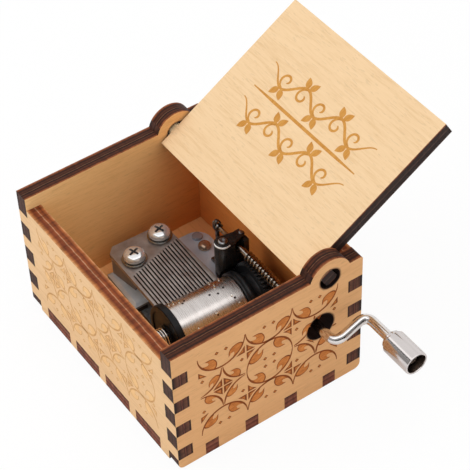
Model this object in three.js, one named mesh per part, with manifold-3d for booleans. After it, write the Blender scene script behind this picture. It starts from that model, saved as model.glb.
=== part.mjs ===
// Hand crank music box: a finger-jointed plywood case with a tabbed lid and an
// eighteen-note comb movement driven by a worm on the crank shaft.
// Millimetres, +Z up, +Y from the front wall to the hinge side, +X towards the crank.
// The origin is the middle of the case's underside.
import * as THREE from 'three';
import { mergeVertices } from 'three/addons/utils/BufferGeometryUtils.js';
import Module from 'manifold-3d';

const wasm = await Module();
wasm.setup();

// ---- case
const caseWide = 64;
const caseDeep = 51;
const ply = 3.9;
const sideHigh = 37.3;
const frontHigh = 33.75;
const backOver = 0.85;          // top of the back wall, above the hinge axis; the open lid rests on it
const glueGap = 0.05;
const cutOver = 2;              // overrun of every cutting solid past the face that it opens

const fingerCount = 4;          // tabs of the front and back walls in each side wall
const fingerTall = 3.6;
const fingerPitch = 8.2;
const fingerFirst = 5.05;       // height of the lowest tab's middle
const floorTabCount = 4;        // tabs of the floor in each wall
const tabLongShare = 0.158;      // of the case's width
const tabPitchShare = 0.203;
const tabShortShare = 0.0677;    // of the case's depth
const tabShortPitchShare = 0.2143;
const footRound = 1.6;          // rounded lower corners of the side walls
const topRound = 0.7;

// ---- hinge, crank hole and lid
const hingeY = 16.45;
const hingeZ = 35.75;
const hingeHole = 2.7;          // radius
const earRadius = 5.6;
const crankHoleFore = 0.27;     // how far the hole's middle lies beside the shaft, and above it
const crankHoleRise = 0.1;
const crankHole = 3.7;
const lidThick = 3.8;
const lidSideGap = 0.5;         // between the lid and each side wall
const lidFore = 41.9;           // from the hinge axis to the free edge
const lidAft = 4.6;             // from the hinge axis to the edge inside the case
const lidTabWide = 3.3;
const lidTabRound = 0.6;
const lidTabInset = 0.4;        // how far a tab's end lies inside the side wall's face
const lidRest = 0.05;           // play between the open lid and the back wall's top edge

// ---- movement frame: turned on the floor so that the cylinder stands across the worm's lead
const skew = THREE.MathUtils.degToRad(2.5);
const moveLong = 43.7;          // the movement's whole length across the case
const moveLeft = 31.3;          // of it, left of the cylinder's axis
const moveLeftShare = 0.352;    // of the room left over, how much lies on the comb's side
const shaftY = 13.6;            // crank shaft, parallel to X
const shaftZ = 21.7;
const seatGap = 0.2;            // between pieces that rest on each other in the turned frame
const runGap = 0.25;            // round every turning shaft, on the radius

// ---- crank shaft and worm
const rodRadius = 1.2;
const journalRadius = 1;
const wormPitch = 1.1;
const wormPitchRadius = 1.15;
const wormAddendum = 0.3;
const wormDedendum = 0.35;
const wormTurns = 12;
const wormBacklash = 0.1;
const flankShare = 0.22;        // slope of a thread or tooth flank, of its height
const shaftInner = 17.2;        // inner end of the shaft, left of the cylinder's axis
const shaftChamfer = 0.2;
const wormLeft = 3.2;           // start of the worm, left of the cylinder's axis
const armOut = 5.8;             // the arm's corner on the shaft, out from the wall
const armLean = 2.4;            // how far the arm leans back towards the wall
const armLong = 10.6;
const bendReach = 2.8;          // from each corner to where its bend starts
const knobOut = 12;             // inner end of the knob, out from the wall
const knobLong = 9.3;
const knobRadius = 3;
const knobNeck = 2.4;           // radius of the knob's shoulder
const knobNeckLong = 0.9;
const knobSocket = 2.45;        // radius of the open outer end
const knobSocketDeep = 3.2;
const knobWallRound = 0.35;
const retainerRadius = 1.75;
const retainerThick = 0.8;
const retainerInset = 1.9;      // below the knob's open end
const rodEndInset = 1.6;

// ---- worm wheel and cylinder
const wheelTeeth = 44;
const toothAddendum = 0.25;
const toothDedendum = 0.4;
const wheelFace = 3;
const drumRadius = 6.75;
const drumFrom = -9.69;         // along the cylinder's axis
const drumTo = 7.71;
const capRadius = 7.6;
const capLong = 1.7;
const capGroove = 0.35;
const capGrooveWide = 0.35;
const capRim = 0.6;
const capHollow = 6.2;
const capHollowDeep = 0.7;
const capHub = 2.9;
const capHubLong = 0.2;
const flangeRadius = 7.2;
const flangeLong = 1.6;
const wheelHub = 5.6;
const arborRadius = 0.9;
const arborOver = 0.8;          // past each bearing's outer face
const drumGap = 0.1;            // between the drum and its plastic ends
const pinRadius = 0.24;
const pinHigh = 0.45;
const pinsPerNote = 3;

// ---- comb
const notes = 18;
const combLeft = -9.38;         // treble side at the tips, along the cylinder's axis
const combRight = 7.5;
const combTaper = [0.38, 1.1];  // how far the treble and bass sides draw in towards the rear edge
const combLong = 23.6;
const combThick = 1.1;
const combTilt = THREE.MathUtils.degToRad(0.7);
const combTipZ = 14.15;         // top of the tooth tips
const combTipClear = 0.4;       // from the tips to the circle that the pins sweep
const notePitch = 0.908;
const firstSlot = 0.8;          // middle of the first slot, from the treble side
const slotWide = 0.36;
const slotFirstShare = 0.521;   // slot roots back from the tips, treble and bass, of the comb's length
const slotLastShare = 0.726;
const combRound = 1.9;
const combScrewShares = [0.7076, 0.8458];  // screws back from the tips, of the comb's length
const combScrewAcross = [-5.74, 3.23];
const screwHead = 2.65;
const screwHeadHigh = 1.9;
const screwDomeShare = 0.45;
const screwShank = 1.3;
const screwDeep = 5.4;
const screwCross = 0.62;        // width of the cross recess
const screwCrossLong = 2.9;
const screwCrossDeep = 0.75;
const washerRadius = 3.1;
const washerThick = 0.55;
const washerSoft = 0.12;

// ---- bedplate
const baseThick = 1.35;
const baseGap = 0.1;
const blockLeft = -9.75;        // rear corner of the block's treble side
const blockDraw = 1.6;          // how far that side draws in towards its front corner
const blockRight = 6.3;
const blockBackInset = 2.6;     // rear of the block, in from the comb's rear edge
const blockToSlots = 0.7;       // front of the block, behind the slots' roots
const ledgeLeft = -10.15;
const ledgeRight = 5.6;
const ledgeBackInset = 2.5;
const ledgeFront = 9.3;         // back from the tips, treble side
const ledgeEdge = 0.75;         // sloped edge round the ledge
const flangeWide = 1.5;         // foot strip along the block
const flangeTo = 11;            // back from the tips
const deckHigh = 8;
const deckLeft = -29.6;
const deckRight = -7.4;
const deckBack = 16.3;
const deckBackRight = 17;
const deckStep = -13.3;
const deckRound = 4;
const keelWide = 8;             // half the width of the plate under the cylinder
const windowWide = 5.7;
const windowFrom = 11.6;
const windowTo = 15.7;
const lugThick = 1.5;
const lugWide = 3.2;            // half width
const frontLug = -17.9;
const backLug = 16.3;
const shaftLugOut = 10.9;       // bearing beside the wall, right of the cylinder's axis
const shaftLugWide = 2.3;
const wingTo = 13.4;
const bossRadius = 2.4;
const bossHigh = 3.6;
const mountBlock = [-23.6, -2.2];
const mountBoss = [10.6, 4];
const mountHead = 2.3;
const mountHeadHigh = 1.3;
const mountShank = 1.1;
const mountSink = 0.4;          // how far the heads lie inside the floor's underside
const mountGrip = 2.4;          // depth of thread in the bedplate

// ---- shaft bracket, end bearing and small fittings
const bracketLeft = 8.6;        // middle of the bracket, left of the cylinder's axis
const bracketHalf = 2.1;
const bracketFront = 10.3;      // centre of the rounded front column
const bracketBack = 16.3;
const bracketTop = 23.1;
const bracketSlotHalf = 1.25;
const bracketSlotFloor = 20.45;
const plateThick = 0.8;
const rivetRadius = 1.15;
const rivetHigh = 0.55;
const rivetShank = 0.7;
const rivetDeep = 2.2;
const rivetBore = 0.42;
const tackRadius = 0.6;
const tackY = 15.55;
const endLugLeft = 16.3;        // left face of the end bearing, left of the cylinder's axis
const endLugThick = 0.9;
const endEye = 1.65;            // radius of its eye
const endNeck = 0.55;           // half the width of its post
const endFootHalf = 1.3;
const endFootLong = 1.8;
const clipRadius = 1.65;
const clipThick = 0.5;
const clipMouth = 1.1;
const deckPinAt = [-27.3, 13.4];
const deckPinRadius = 1.35;
const deckPinHigh = 0.8;
const deckStudAt = [-23.5, 13.15];
const deckStudRadius = 1.6;
const deckStudHigh = 1.5;
const studShank = 0.8;
const studDeep = 2;
const coilTurns = 4;
const coilPitch = 0.98;
const coilWire = 0.25;          // radius of the wire
const coilRadius = 2.3;

// ---- derived sizes
const halfX = caseWide / 2;
const halfY = caseDeep / 2;
const inX = halfX - ply;
const inY = halfY - ply;
const floorTabLong = caseWide * tabLongShare;
const floorTabPitch = caseWide * tabPitchShare;
const floorTabShort = caseDeep * tabShortShare;
const floorTabShortPitch = caseDeep * tabShortPitchShare;
const backHigh = hingeZ + backOver;
const lidWide = 2 * (inX - lidSideGap);
const moveX = (2 * inX - moveLong) * moveLeftShare + moveLeft - inX;
const shaftStart = moveX - shaftInner;
const wormStart = moveX - wormLeft;
const shaftLugX = moveX + shaftLugOut;
const bracketX = moveX - bracketLeft;
const endLugX = moveX - endLugLeft;
const crankHoleY = shaftY + crankHoleFore;
const crankHoleZ = shaftZ + crankHoleRise;
const armX = halfX + armOut;
const knobStart = halfX + knobOut;
const floorZ = ply + baseGap;
const baseTop = floorZ + baseThick;
const wormCrest = wormPitchRadius + wormAddendum;
const wormRoot = wormPitchRadius - wormDedendum;
const wormLead = Math.atan(wormPitch / (2 * Math.PI * wormPitchRadius));
const wormEnd = wormStart + wormTurns * wormPitch;
const wheelHelix = wormLead - skew;
const toothPitch = wormPitch * Math.cos(wormLead) / Math.cos(wheelHelix);
const wheelPitchRadius = wheelTeeth * toothPitch / (2 * Math.PI);
const drumZ = shaftZ - wormPitchRadius - wheelPitchRadius;
const wheelMid = shaftY / Math.cos(skew);
const wheelX = moveX + wheelMid * Math.sin(skew);
const wheelFrom = wheelMid - wheelFace / 2;
const wheelTo = wheelMid + wheelFace / 2;
const capFrom = drumFrom - drumGap - capLong;
const pinTip = drumRadius + pinHigh;
const handleY = shaftY + armLong;
const openLift = Math.hypot(inY - hingeY, backHigh - hingeZ);
const openAngle = Math.PI - Math.asin((lidThick / 2 + lidRest) / openLift)
  - Math.atan2(backHigh - hingeZ, inY - hingeY);

// ---- materials
const paint = (color, roughness, metalness) =>
  new THREE.MeshStandardMaterial({ color, roughness, metalness });
const birch = paint(0xe3bf8f, 0.6, 0);
const birchInner = paint(0xc99a62, 0.65, 0);
const zinc = paint(0x8b8f94, 0.45, 0.8);
const combSteel = paint(0x8f8781, 0.4, 0.9);
const nickel = paint(0xd6d4d0, 0.22, 1);
const drumSteel = paint(0xc4beb4, 0.32, 1);
const blackPlastic = paint(0x151517, 0.45, 0);
const blackSteel = paint(0x26262a, 0.4, 0.6);
const brass = paint(0x8a6a45, 0.35, 0.9);

// ---- solids
function solid(geometry) {
  const bare = geometry.index ? geometry.toNonIndexed() : geometry.clone();
  for (const name of Object.keys(bare.attributes)) {
    if (name !== 'position') bare.deleteAttribute(name);
  }
  const merged = mergeVertices(bare);
  const body = new wasm.Manifold(new wasm.Mesh({
    numProp: 3,
    vertProperties: new Float32Array(merged.attributes.position.array),
    triVerts: new Uint32Array(merged.index.array),
  }));
  if (body.volume() <= 0) throw new Error('a solid is inside out');
  return body;
}

function toGeometry(body) {
  const mesh = body.getMesh();
  const geometry = new THREE.BufferGeometry();
  geometry.setAttribute('position', new THREE.BufferAttribute(new Float32Array(mesh.vertProperties), 3));
  geometry.setIndex(new THREE.BufferAttribute(new Uint32Array(mesh.triVerts), 1));
  geometry.computeVertexNormals();
  return geometry;
}

const join = (first, ...rest) => rest.reduce((sum, item) => sum.add(item), first);
const cut = (first, ...rest) => rest.reduce((sum, item) => sum.subtract(item), first);

function named(name, body, material) {
  const mesh = new THREE.Mesh(body.isBufferGeometry ? body : toGeometry(body), material);
  mesh.name = name;
  return mesh;
}

function block(x0, x1, y0, y1, z0, z1) {
  const geometry = new THREE.BoxGeometry(x1 - x0, y1 - y0, z1 - z0);
  geometry.translate((x0 + x1) / 2, (y0 + y1) / 2, (z0 + z1) / 2);
  return solid(geometry);
}

function outline(points) {
  return new THREE.Shape(points.map(([x, y]) => new THREE.Vector2(x, y)));
}

// an outline in X and Y, raised from z0 to z1
function risen(shape, z0, z1, curveSegments = 6) {
  const geometry = new THREE.ExtrudeGeometry(shape, { depth: z1 - z0, bevelEnabled: false, curveSegments });
  return geometry.translate(0, 0, z0);
}

// an outline in Y and Z, drawn out from x0 to x1
function drawn(shape, x0, x1, curveSegments = 6) {
  const geometry = risen(shape, x0, x1, curveSegments);
  return geometry.applyMatrix4(new THREE.Matrix4().set(0, 0, 1, 0, 1, 0, 0, 0, 0, 1, 0, 0, 0, 0, 0, 1));
}

// a profile of [radius, place] pairs turned round the local Y axis
function turned(profile, segments) {
  return new THREE.LatheGeometry(profile.map(([r, y]) => new THREE.Vector2(r, y)), segments);
}

const alongX = geometry => geometry.rotateZ(-Math.PI / 2);
const alongZ = geometry => geometry.rotateX(Math.PI / 2);
const rod = (radius, from, to, segments) =>
  turned([[0, from], [radius, from], [radius, to], [0, to]], segments);
// a hole's flats lie outside its radius, so a round shaft of that radius always clears them
const bore = (radius, from, to, segments) => rod(radius / Math.cos(Math.PI / segments), from, to, segments);

const spread = (count, pitch) => Array.from({ length: count }, (_, i) => (i - (count - 1) / 2) * pitch);
const fingerAt = Array.from({ length: fingerCount }, (_, i) => fingerFirst + i * fingerPitch);

// ---- case walls
function floorPanel() {
  let body = block(-inX + glueGap, inX - glueGap, -inY + glueGap, inY - glueGap, 0, ply);
  for (const x of spread(floorTabCount, floorTabPitch)) {
    body = body.add(block(x - floorTabLong / 2, x + floorTabLong / 2, -halfY, halfY, 0, ply));
  }
  for (const y of spread(floorTabCount, floorTabShortPitch)) {
    body = body.add(block(-halfX, halfX, y - floorTabShort / 2, y + floorTabShort / 2, 0, ply));
  }
  for (const [x, y] of [toCase(mountBlock), toCase(mountBoss)]) {
    const cone = turned([[0, -cutOver], [mountHead + glueGap, -cutOver], [mountHead + glueGap, mountSink],
      [mountShank + glueGap, mountSink + mountHeadHigh], [mountShank + glueGap, ply + cutOver],
      [0, ply + cutOver]], 20);
    body = body.subtract(solid(alongZ(cone).translate(x, y, 0)));
  }
  return named('Floor_Panel', body, birchInner);
}

// place of a point of the movement frame on the case's floor
function toCase([x, y]) {
  return [moveX + x * Math.cos(skew) + y * Math.sin(skew), y * Math.cos(skew) - x * Math.sin(skew)];
}

function crossWall(name, yOut, yIn, high) {
  const [y0, y1] = [Math.min(yOut, yIn), Math.max(yOut, yIn)];
  let body = block(-inX + glueGap, inX - glueGap, y0, y1, 0, high);
  for (const z of fingerAt) {
    body = body.add(block(-halfX, halfX, y0, y1, z - fingerTall / 2, z + fingerTall / 2));
  }
  for (const x of spread(floorTabCount, floorTabPitch)) {
    body = body.subtract(block(x - floorTabLong / 2 - glueGap, x + floorTabLong / 2 + glueGap,
      y0 - cutOver, y1 + cutOver, -cutOver, ply + glueGap));
  }
  return named(name, body, birch);
}

function sideOutline() {
  const shape = new THREE.Shape();
  const foot = Math.sqrt(earRadius ** 2 - (sideHigh - hingeZ) ** 2);
  const lean = Math.atan2(sideHigh - hingeZ, foot);
  shape.moveTo(-halfY + footRound, 0);
  shape.lineTo(halfY - footRound, 0);
  shape.absarc(halfY - footRound, footRound, footRound, -Math.PI / 2, 0, false);
  shape.lineTo(halfY, sideHigh - topRound);
  shape.absarc(halfY - topRound, sideHigh - topRound, topRound, 0, Math.PI / 2, false);
  shape.lineTo(hingeY + foot, sideHigh);
  shape.absarc(hingeY, hingeZ, earRadius, lean, Math.PI - lean, false);
  shape.lineTo(-halfY, sideHigh);
  shape.lineTo(-halfY, footRound);
  shape.absarc(-halfY + footRound, footRound, footRound, Math.PI, Math.PI * 1.5, false);
  return shape;
}

function sideWall(name, xOut, xIn, crank) {
  const [x0, x1] = [Math.min(xOut, xIn), Math.max(xOut, xIn)];
  let body = solid(drawn(sideOutline(), x0, x1, 12));
  for (const z of fingerAt) {
    const [z0, z1] = [z - fingerTall / 2 - glueGap, z + fingerTall / 2 + glueGap];
    body = cut(body,
      block(x0 - cutOver, x1 + cutOver, -halfY - cutOver, -inY + glueGap, z0, z1),
      block(x0 - cutOver, x1 + cutOver, inY - glueGap, halfY + cutOver, z0, z1));
  }
  for (const y of spread(floorTabCount, floorTabShortPitch)) {
    body = body.subtract(block(x0 - cutOver, x1 + cutOver, y - floorTabShort / 2 - glueGap,
      y + floorTabShort / 2 + glueGap, -cutOver, ply + glueGap));
  }
  const pierce = (radius, y, z, n) =>
    solid(alongX(bore(radius, x0 - cutOver, x1 + cutOver, n)).translate(0, y, z));
  body = body.subtract(pierce(hingeHole, hingeY, hingeZ, 28));
  if (crank) body = body.subtract(pierce(crankHole, crankHoleY, crankHoleZ, 32));
  return named(name, body, birch);
}

// ---- lid, drawn closed about its hinge axis and swung open
function lid() {
  const half = lidThick / 2;
  const reach = halfX - lidTabInset;
  const [w, r] = [lidTabWide / 2, lidTabRound];
  const tab = outline([[-w, -half + r], [-w + r, -half], [w - r, -half], [w, -half + r],
    [w, half - r], [w - r, half], [-w + r, half], [-w, half - r]]);
  const body = join(block(-lidWide / 2, lidWide / 2, -lidFore, lidAft, -half, half),
    solid(drawn(tab, -reach, reach)));
  const mesh = named('Lid', body, birch);
  mesh.position.set(0, hingeY, hingeZ);
  mesh.rotation.x = -openAngle;
  return mesh;
}

// ---- crank shaft: journal, worm, bent arm and handle pin in one rod
function wormThread() {
  const steps = 16;
  const half = wormPitch / 4 - wormBacklash / 4;
  const lean = flankShare * (wormAddendum + wormDedendum);
  const buried = wormRoot / 2;
  const section = [[-half - lean, buried], [-half + lean * wormAddendum / (wormAddendum + wormDedendum), wormCrest],
    [half - lean * wormAddendum / (wormAddendum + wormDedendum), wormCrest], [half + lean, buried]];
  const total = steps * (wormTurns - 1);
  const positions = [];
  const index = [];
  for (let i = 0; i <= total; i++) {
    const angle = 2 * Math.PI * i / steps;
    const x = wormPitch * i / steps;
    // the ridge rises out of the core over its first and last quarter turn
    const rise = Math.min(1, 4 * i / steps, 4 * (total - i) / steps);
    for (const [dx, r] of section) {
      const out = buried + (r - buried) * Math.max(rise, flankShare);
      positions.push(x + dx, out * Math.cos(angle), out * Math.sin(angle));
    }
  }
  const n = section.length;
  for (let i = 0; i < total; i++) {
    for (let k = 0; k < n; k++) {
      const [a, b, c, d] = [i * n + k, i * n + (k + 1) % n, (i + 1) * n + (k + 1) % n, (i + 1) * n + k];
      index.push(a, c, b, a, d, c);
    }
  }
  const last = total * n;
  index.push(0, 2, 3, 0, 1, 2, last, last + 2, last + 1, last, last + 3, last + 2);
  const geometry = new THREE.BufferGeometry();
  geometry.setAttribute('position', new THREE.BufferAttribute(new Float32Array(positions), 3));
  geometry.setIndex(index);
  return geometry;
}

function crankShaft() {
  const knobEnd = knobStart + knobLong;
  const rodEnd = knobEnd - rodEndInset;
  const straight = alongX(turned([[0, shaftStart], [journalRadius - shaftChamfer, shaftStart],
    [journalRadius, shaftStart + shaftChamfer], [journalRadius, wormStart],
    [wormRoot, wormStart + wormDedendum], [wormRoot, wormEnd + rodRadius], [0, wormEnd + rodRadius]], 16))
    .rotateX(Math.PI / 16);
  const path = new THREE.CurvePath();
  const at = (x, y) => new THREE.Vector3(x, y, 0);
  const corner = (x0, y0, x1, y1, x2, y2) =>
    new THREE.QuadraticBezierCurve3(at(x0, y0), at(x1, y1), at(x2, y2));
  const armX2 = armX - armLean;
  const armSlant = Math.hypot(armLean, armLong);
  const [stepX, stepY] = [-armLean / armSlant * bendReach, armLong / armSlant * bendReach];
  path.add(new THREE.LineCurve3(at(wormEnd, 0), at(armX - bendReach, 0)));
  path.add(corner(armX - bendReach, 0, armX, 0, armX + stepX, stepY));
  path.add(new THREE.LineCurve3(at(armX + stepX, stepY), at(armX2 - stepX, armLong - stepY)));
  path.add(corner(armX2 - stepX, armLong - stepY, armX2, armLong, armX2 + bendReach, armLong));
  path.add(new THREE.LineCurve3(at(armX2 + bendReach, armLong), at(rodEnd, armLong)));
  const ring = new THREE.Shape();
  ring.absarc(0, 0, rodRadius, 0, 2 * Math.PI, false);
  const arm = new THREE.ExtrudeGeometry(ring, { steps: 60, curveSegments: 6, extrudePath: path });
  // the thread's ridge lies over the wheel's middle at the shaft's underside
  const turnsToWheel = Math.floor((wheelX - wormStart) / wormPitch);
  const first = wheelX - (turnsToWheel - 0.25) * wormPitch - wormPitch;
  const thread = wormThread().translate(first, 0, 0);
  const body = join(solid(straight), solid(thread), solid(arm)).translate([0, shaftY, shaftZ]);
  return named('Crank_Shaft', body, nickel);
}

function knob() {
  const end = knobStart + knobLong;
  const hole = rodRadius + runGap;
  const r = knobWallRound;
  const profile = [[hole, knobStart], [knobNeck - r, knobStart], [knobNeck, knobStart + r],
    [knobNeck, knobStart + knobNeckLong], [knobRadius - r, knobStart + knobNeckLong],
    [knobRadius, knobStart + knobNeckLong + r], [knobRadius, end - r], [knobRadius - r, end],
    [knobSocket, end], [knobSocket, end - knobSocketDeep], [hole, end - knobSocketDeep], [hole, knobStart]];
  return named('Crank_Knob', solid(alongX(turned(profile, 28)).translate(0, handleY, shaftZ)), nickel);
}

function retainer() {
  const to = knobStart + knobLong - retainerInset;
  const from = to - retainerThick;
  const hole = (rodRadius + glueGap) / Math.cos(Math.PI / 16);
  const profile = [[hole, from], [retainerRadius, from], [retainerRadius, to], [hole, to], [hole, from]];
  return named('Knob_Retainer', solid(alongX(turned(profile, 16)).translate(0, handleY, shaftZ)), nickel);
}

// ---- bracket that carries the shaft beside the wheel, with its cover plate
function bracketOutline() {
  const shape = new THREE.Shape();
  shape.moveTo(bracketX - bracketHalf, bracketBack);
  shape.lineTo(bracketX - bracketHalf, bracketFront);
  shape.absarc(bracketX, bracketFront, bracketHalf, Math.PI, 2 * Math.PI, false);
  shape.lineTo(bracketX + bracketHalf, bracketBack);
  return shape;
}

const deckTop = deckHigh;
const plateTop = bracketTop + glueGap + plateThick;

function shaftBracket() {
  const trimX = bracketX + bracketHalf - runGap;
  const body = cut(solid(risen(bracketOutline(), deckTop + seatGap, bracketTop, 10)),
    block(bracketX - bracketHalf - cutOver, trimX + cutOver, shaftY - bracketSlotHalf,
      shaftY + bracketSlotHalf, bracketSlotFloor, bracketTop + cutOver),
    solid(alongZ(bore(rivetShank + glueGap, bracketTop - rivetDeep - seatGap, bracketTop + cutOver, 12))
      .translate(bracketX, bracketFront, 0)),
    solid(alongZ(bore(tackRadius / 2 + glueGap, bracketTop - rivetDeep - seatGap, bracketTop + cutOver, 10))
      .translate(bracketX, tackY, 0)),
    solid(rod(wheelPitchRadius + toothAddendum + runGap, drumTo - cutOver, wheelTo + cutOver, 48)
      .translate(0, 0, drumZ).applyMatrix4(movementToCase)));
  return named('Shaft_Bracket', body, blackPlastic);
}

function bracketPlate() {
  const body = cut(solid(risen(bracketOutline(), bracketTop + glueGap, plateTop, 10)),
    solid(alongZ(bore(rivetShank + glueGap, bracketTop - cutOver, plateTop + cutOver, 12))
      .translate(bracketX, bracketFront, 0)),
    solid(alongZ(bore(tackRadius / 2 + glueGap, bracketTop - cutOver, plateTop + cutOver, 10))
      .translate(bracketX, tackY, 0)));
  return named('Bracket_Plate', body, blackSteel);
}

function rivet() {
  const z = plateTop + glueGap;
  const profile = [[0, bracketTop - rivetDeep], [rivetShank, bracketTop - rivetDeep], [rivetShank, z],
    [rivetRadius, z], [rivetRadius, z + rivetHigh / 2], [rivetRadius - rivetHigh / 2, z + rivetHigh],
    [rivetBore, z + rivetHigh], [rivetBore, z], [0, z]];
  return named('Bracket_Rivet',
    solid(alongZ(turned(profile, 16)).translate(bracketX, bracketFront, 0)), nickel);
}

function tack() {
  const z = plateTop + glueGap;
  const profile = [[0, bracketTop - rivetDeep], [tackRadius / 2, bracketTop - rivetDeep], [tackRadius / 2, z],
    [tackRadius, z], [tackRadius, z + rivetHigh / 3], [0, z + rivetHigh / 2]];
  return named('Bracket_Tack', solid(alongZ(turned(profile, 12)).translate(bracketX, tackY, 0)), nickel);
}

// upright that carries the shaft's inner end
function endBearing() {
  const x1 = endLugX + endLugThick;
  const foot = deckTop + seatGap;
  const eye = alongX(turned([[0, endLugX], [endEye, endLugX], [endEye, x1], [0, x1]], 24));
  const body = cut(join(solid(eye.translate(0, shaftY, shaftZ)),
    block(endLugX, x1, shaftY - endNeck, shaftY + endNeck, foot, shaftZ),
    block(endLugX - endFootLong, x1, shaftY - endFootHalf, shaftY + endFootHalf, foot, foot + endLugThick)),
    solid(alongX(bore(journalRadius + runGap, endLugX - cutOver, x1 + cutOver, 16))
      .translate(0, shaftY, shaftZ)));
  return named('Shaft_End_Bearing', body, blackSteel);
}

// spring clip in front of the end bearing, open at the top
function shaftClip() {
  const from = endLugX + endLugThick + seatGap;
  const hole = (journalRadius + glueGap) / Math.cos(Math.PI / 16);
  const profile = [[hole, from], [clipRadius, from], [clipRadius, from + clipThick],
    [hole, from + clipThick], [hole, from]];
  const body = cut(solid(alongX(turned(profile, 16)).translate(0, shaftY, shaftZ)),
    block(from - cutOver, from + clipThick + cutOver, shaftY - clipMouth / 2, shaftY + clipMouth / 2,
      shaftZ, shaftZ + clipRadius + cutOver));
  return named('Shaft_Clip', body, nickel);
}

// ---- movement pieces, in the turned frame: X across the teeth, Y along the cylinder
const combTipX = (() => {
  const low = combTipZ - combThick - drumZ;
  const high = combTipZ - drumZ;
  const off = low > 0 ? low : Math.min(high, 0);
  return -Math.sqrt((pinTip + combTipClear) ** 2 - off ** 2);
})();
const combFrame = new THREE.Matrix4().makeRotationY(-combTilt).setPosition(combTipX, 0, combTipZ);
const movementToCase = new THREE.Matrix4().makeRotationZ(-skew).setPosition(moveX, 0, 0);
const caseToMovement = movementToCase.clone().invert();

const combScrews = combScrewShares.map((share, k) => [-share * combLong, combScrewAcross[k]]);
const slotAt = i => combLeft + firstSlot + i * notePitch;
const noteAt = i => slotAt(i) - notePitch / 2;
const slotRoot = i => -combLong * (slotFirstShare + (slotLastShare - slotFirstShare) * i / (notes - 2));

function comb() {
  const [left, right] = [combLeft - combTaper[0], combRight - combTaper[1]];
  const points = [[-combLong, right - 2.2 * combRound], [-combLong, left + 0.9 * combRound],
    [-combLong + combRound, left], [0, combLeft]];
  for (let i = 0; i < notes - 1; i++) {
    const [v0, v1] = [slotAt(i) - slotWide / 2, slotAt(i) + slotWide / 2];
    points.push([0, v0], [slotRoot(i), v0], [slotRoot(i), v1], [0, v1]);
  }
  points.push([0, combRight], [-combLong + 1.6 * combRound, right], [-combLong + 0.7 * combRound, right - 0.5 * combRound]);
  const shape = outline(points);
  for (const [u, v] of combScrews) {
    const hole = new THREE.Path();
    hole.absarc(u, v, screwShank + runGap, 0, 2 * Math.PI, true);
    shape.holes.push(hole);
  }
  const mesh = named('Comb', solid(risen(shape, -combThick, 0)), combSteel);
  mesh.applyMatrix4(combFrame);
  return mesh;
}

function combWasher(k) {
  const [u, v] = combScrews[k];
  const [r, z] = [washerRadius, seatGap + washerThick];
  const hole = screwShank + seatGap;
  const profile = [[hole, seatGap], [r, seatGap], [r, z - washerSoft], [r - washerSoft, z],
    [hole, z], [hole, seatGap]];
  const mesh = named('Comb_Washer_' + (k + 1), solid(alongZ(turned(profile, 28)).translate(u, v, 0)), nickel);
  mesh.applyMatrix4(combFrame);
  return mesh;
}

function combScrew(k) {
  const [u, v] = combScrews[k];
  const z = 2 * seatGap + washerThick;
  const dome = screwHeadHigh * screwDomeShare;
  const top = z + screwHeadHigh;
  const profile = [[0, -screwDeep], [screwShank, -screwDeep], [screwShank, z], [screwHead, z],
    [screwHead, top - dome], [screwHead * 0.88, top - dome * 0.45], [screwHead * 0.6, top - dome * 0.1],
    [0, top]];
  const arm = (long, wide) => block(u - long / 2, u + long / 2, v - wide / 2, v + wide / 2,
    top - screwCrossDeep, top + cutOver);
  const body = cut(solid(alongZ(turned(profile, 24)).translate(u, v, 0)),
    arm(screwCrossLong, screwCross), arm(screwCross, screwCrossLong));
  const mesh = named('Comb_Screw_' + (k + 1), body, nickel);
  mesh.applyMatrix4(combFrame);
  return mesh;
}

// cast block under the comb: its top lies along the comb and its front edge along the slots' roots,
// and it stands on a ledge with a sloped edge
function combBlock() {
  const back = -combLong + blockBackInset;
  const high = outline([[back, blockLeft], [slotRoot(0) - blockToSlots, blockLeft + blockDraw],
    [slotRoot(notes - 2) - blockToSlots, blockRight], [back, blockRight]]);
  const tall = solid(risen(high, floorZ - combTipZ, -combThick - seatGap).applyMatrix4(combFrame));
  const tips = combTipX;
  const ledgeBack = tips - combLong + ledgeBackInset;
  const ledge = outline([[ledgeBack, ledgeLeft], [tips - ledgeFront, ledgeLeft],
    [tips - ledgeFront - ledgeEdge, ledgeRight], [ledgeBack, ledgeRight]]);
  const sloped = new THREE.ExtrudeGeometry(ledge, { depth: deckHigh - ledgeEdge - baseTop, bevelEnabled: true,
    bevelThickness: ledgeEdge, bevelSize: ledgeEdge, bevelSegments: 1 });
  const low = block(-caseWide, caseWide, -caseDeep, caseDeep, -caseWide, floorZ);
  return cut(join(tall, solid(sloped.translate(0, 0, baseTop))), low);
}

function deckOutline() {
  const shape = new THREE.Shape();
  shape.moveTo(deckLeft, blockRight - cutOver);
  shape.lineTo(deckRight, blockRight - cutOver);
  shape.lineTo(deckRight, deckBackRight);
  shape.lineTo(deckStep, deckBackRight);
  shape.lineTo(deckStep - (deckBackRight - deckBack), deckBack);
  shape.lineTo(deckLeft + deckRound, deckBack);
  shape.absarc(deckLeft + deckRound, deckBack - deckRound, deckRound, Math.PI / 2, Math.PI, false);
  return shape;
}

function arborLug(y, high) {
  const body = cut(join(block(-lugWide, lugWide, y, y + lugThick, floorZ, high),
    solid(rod(lugWide, y, y + lugThick, 20).translate(0, 0, high))),
    solid(bore(arborRadius + runGap, y - cutOver, y + lugThick + cutOver, 16).translate(0, 0, drumZ)));
  return body;
}

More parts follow.
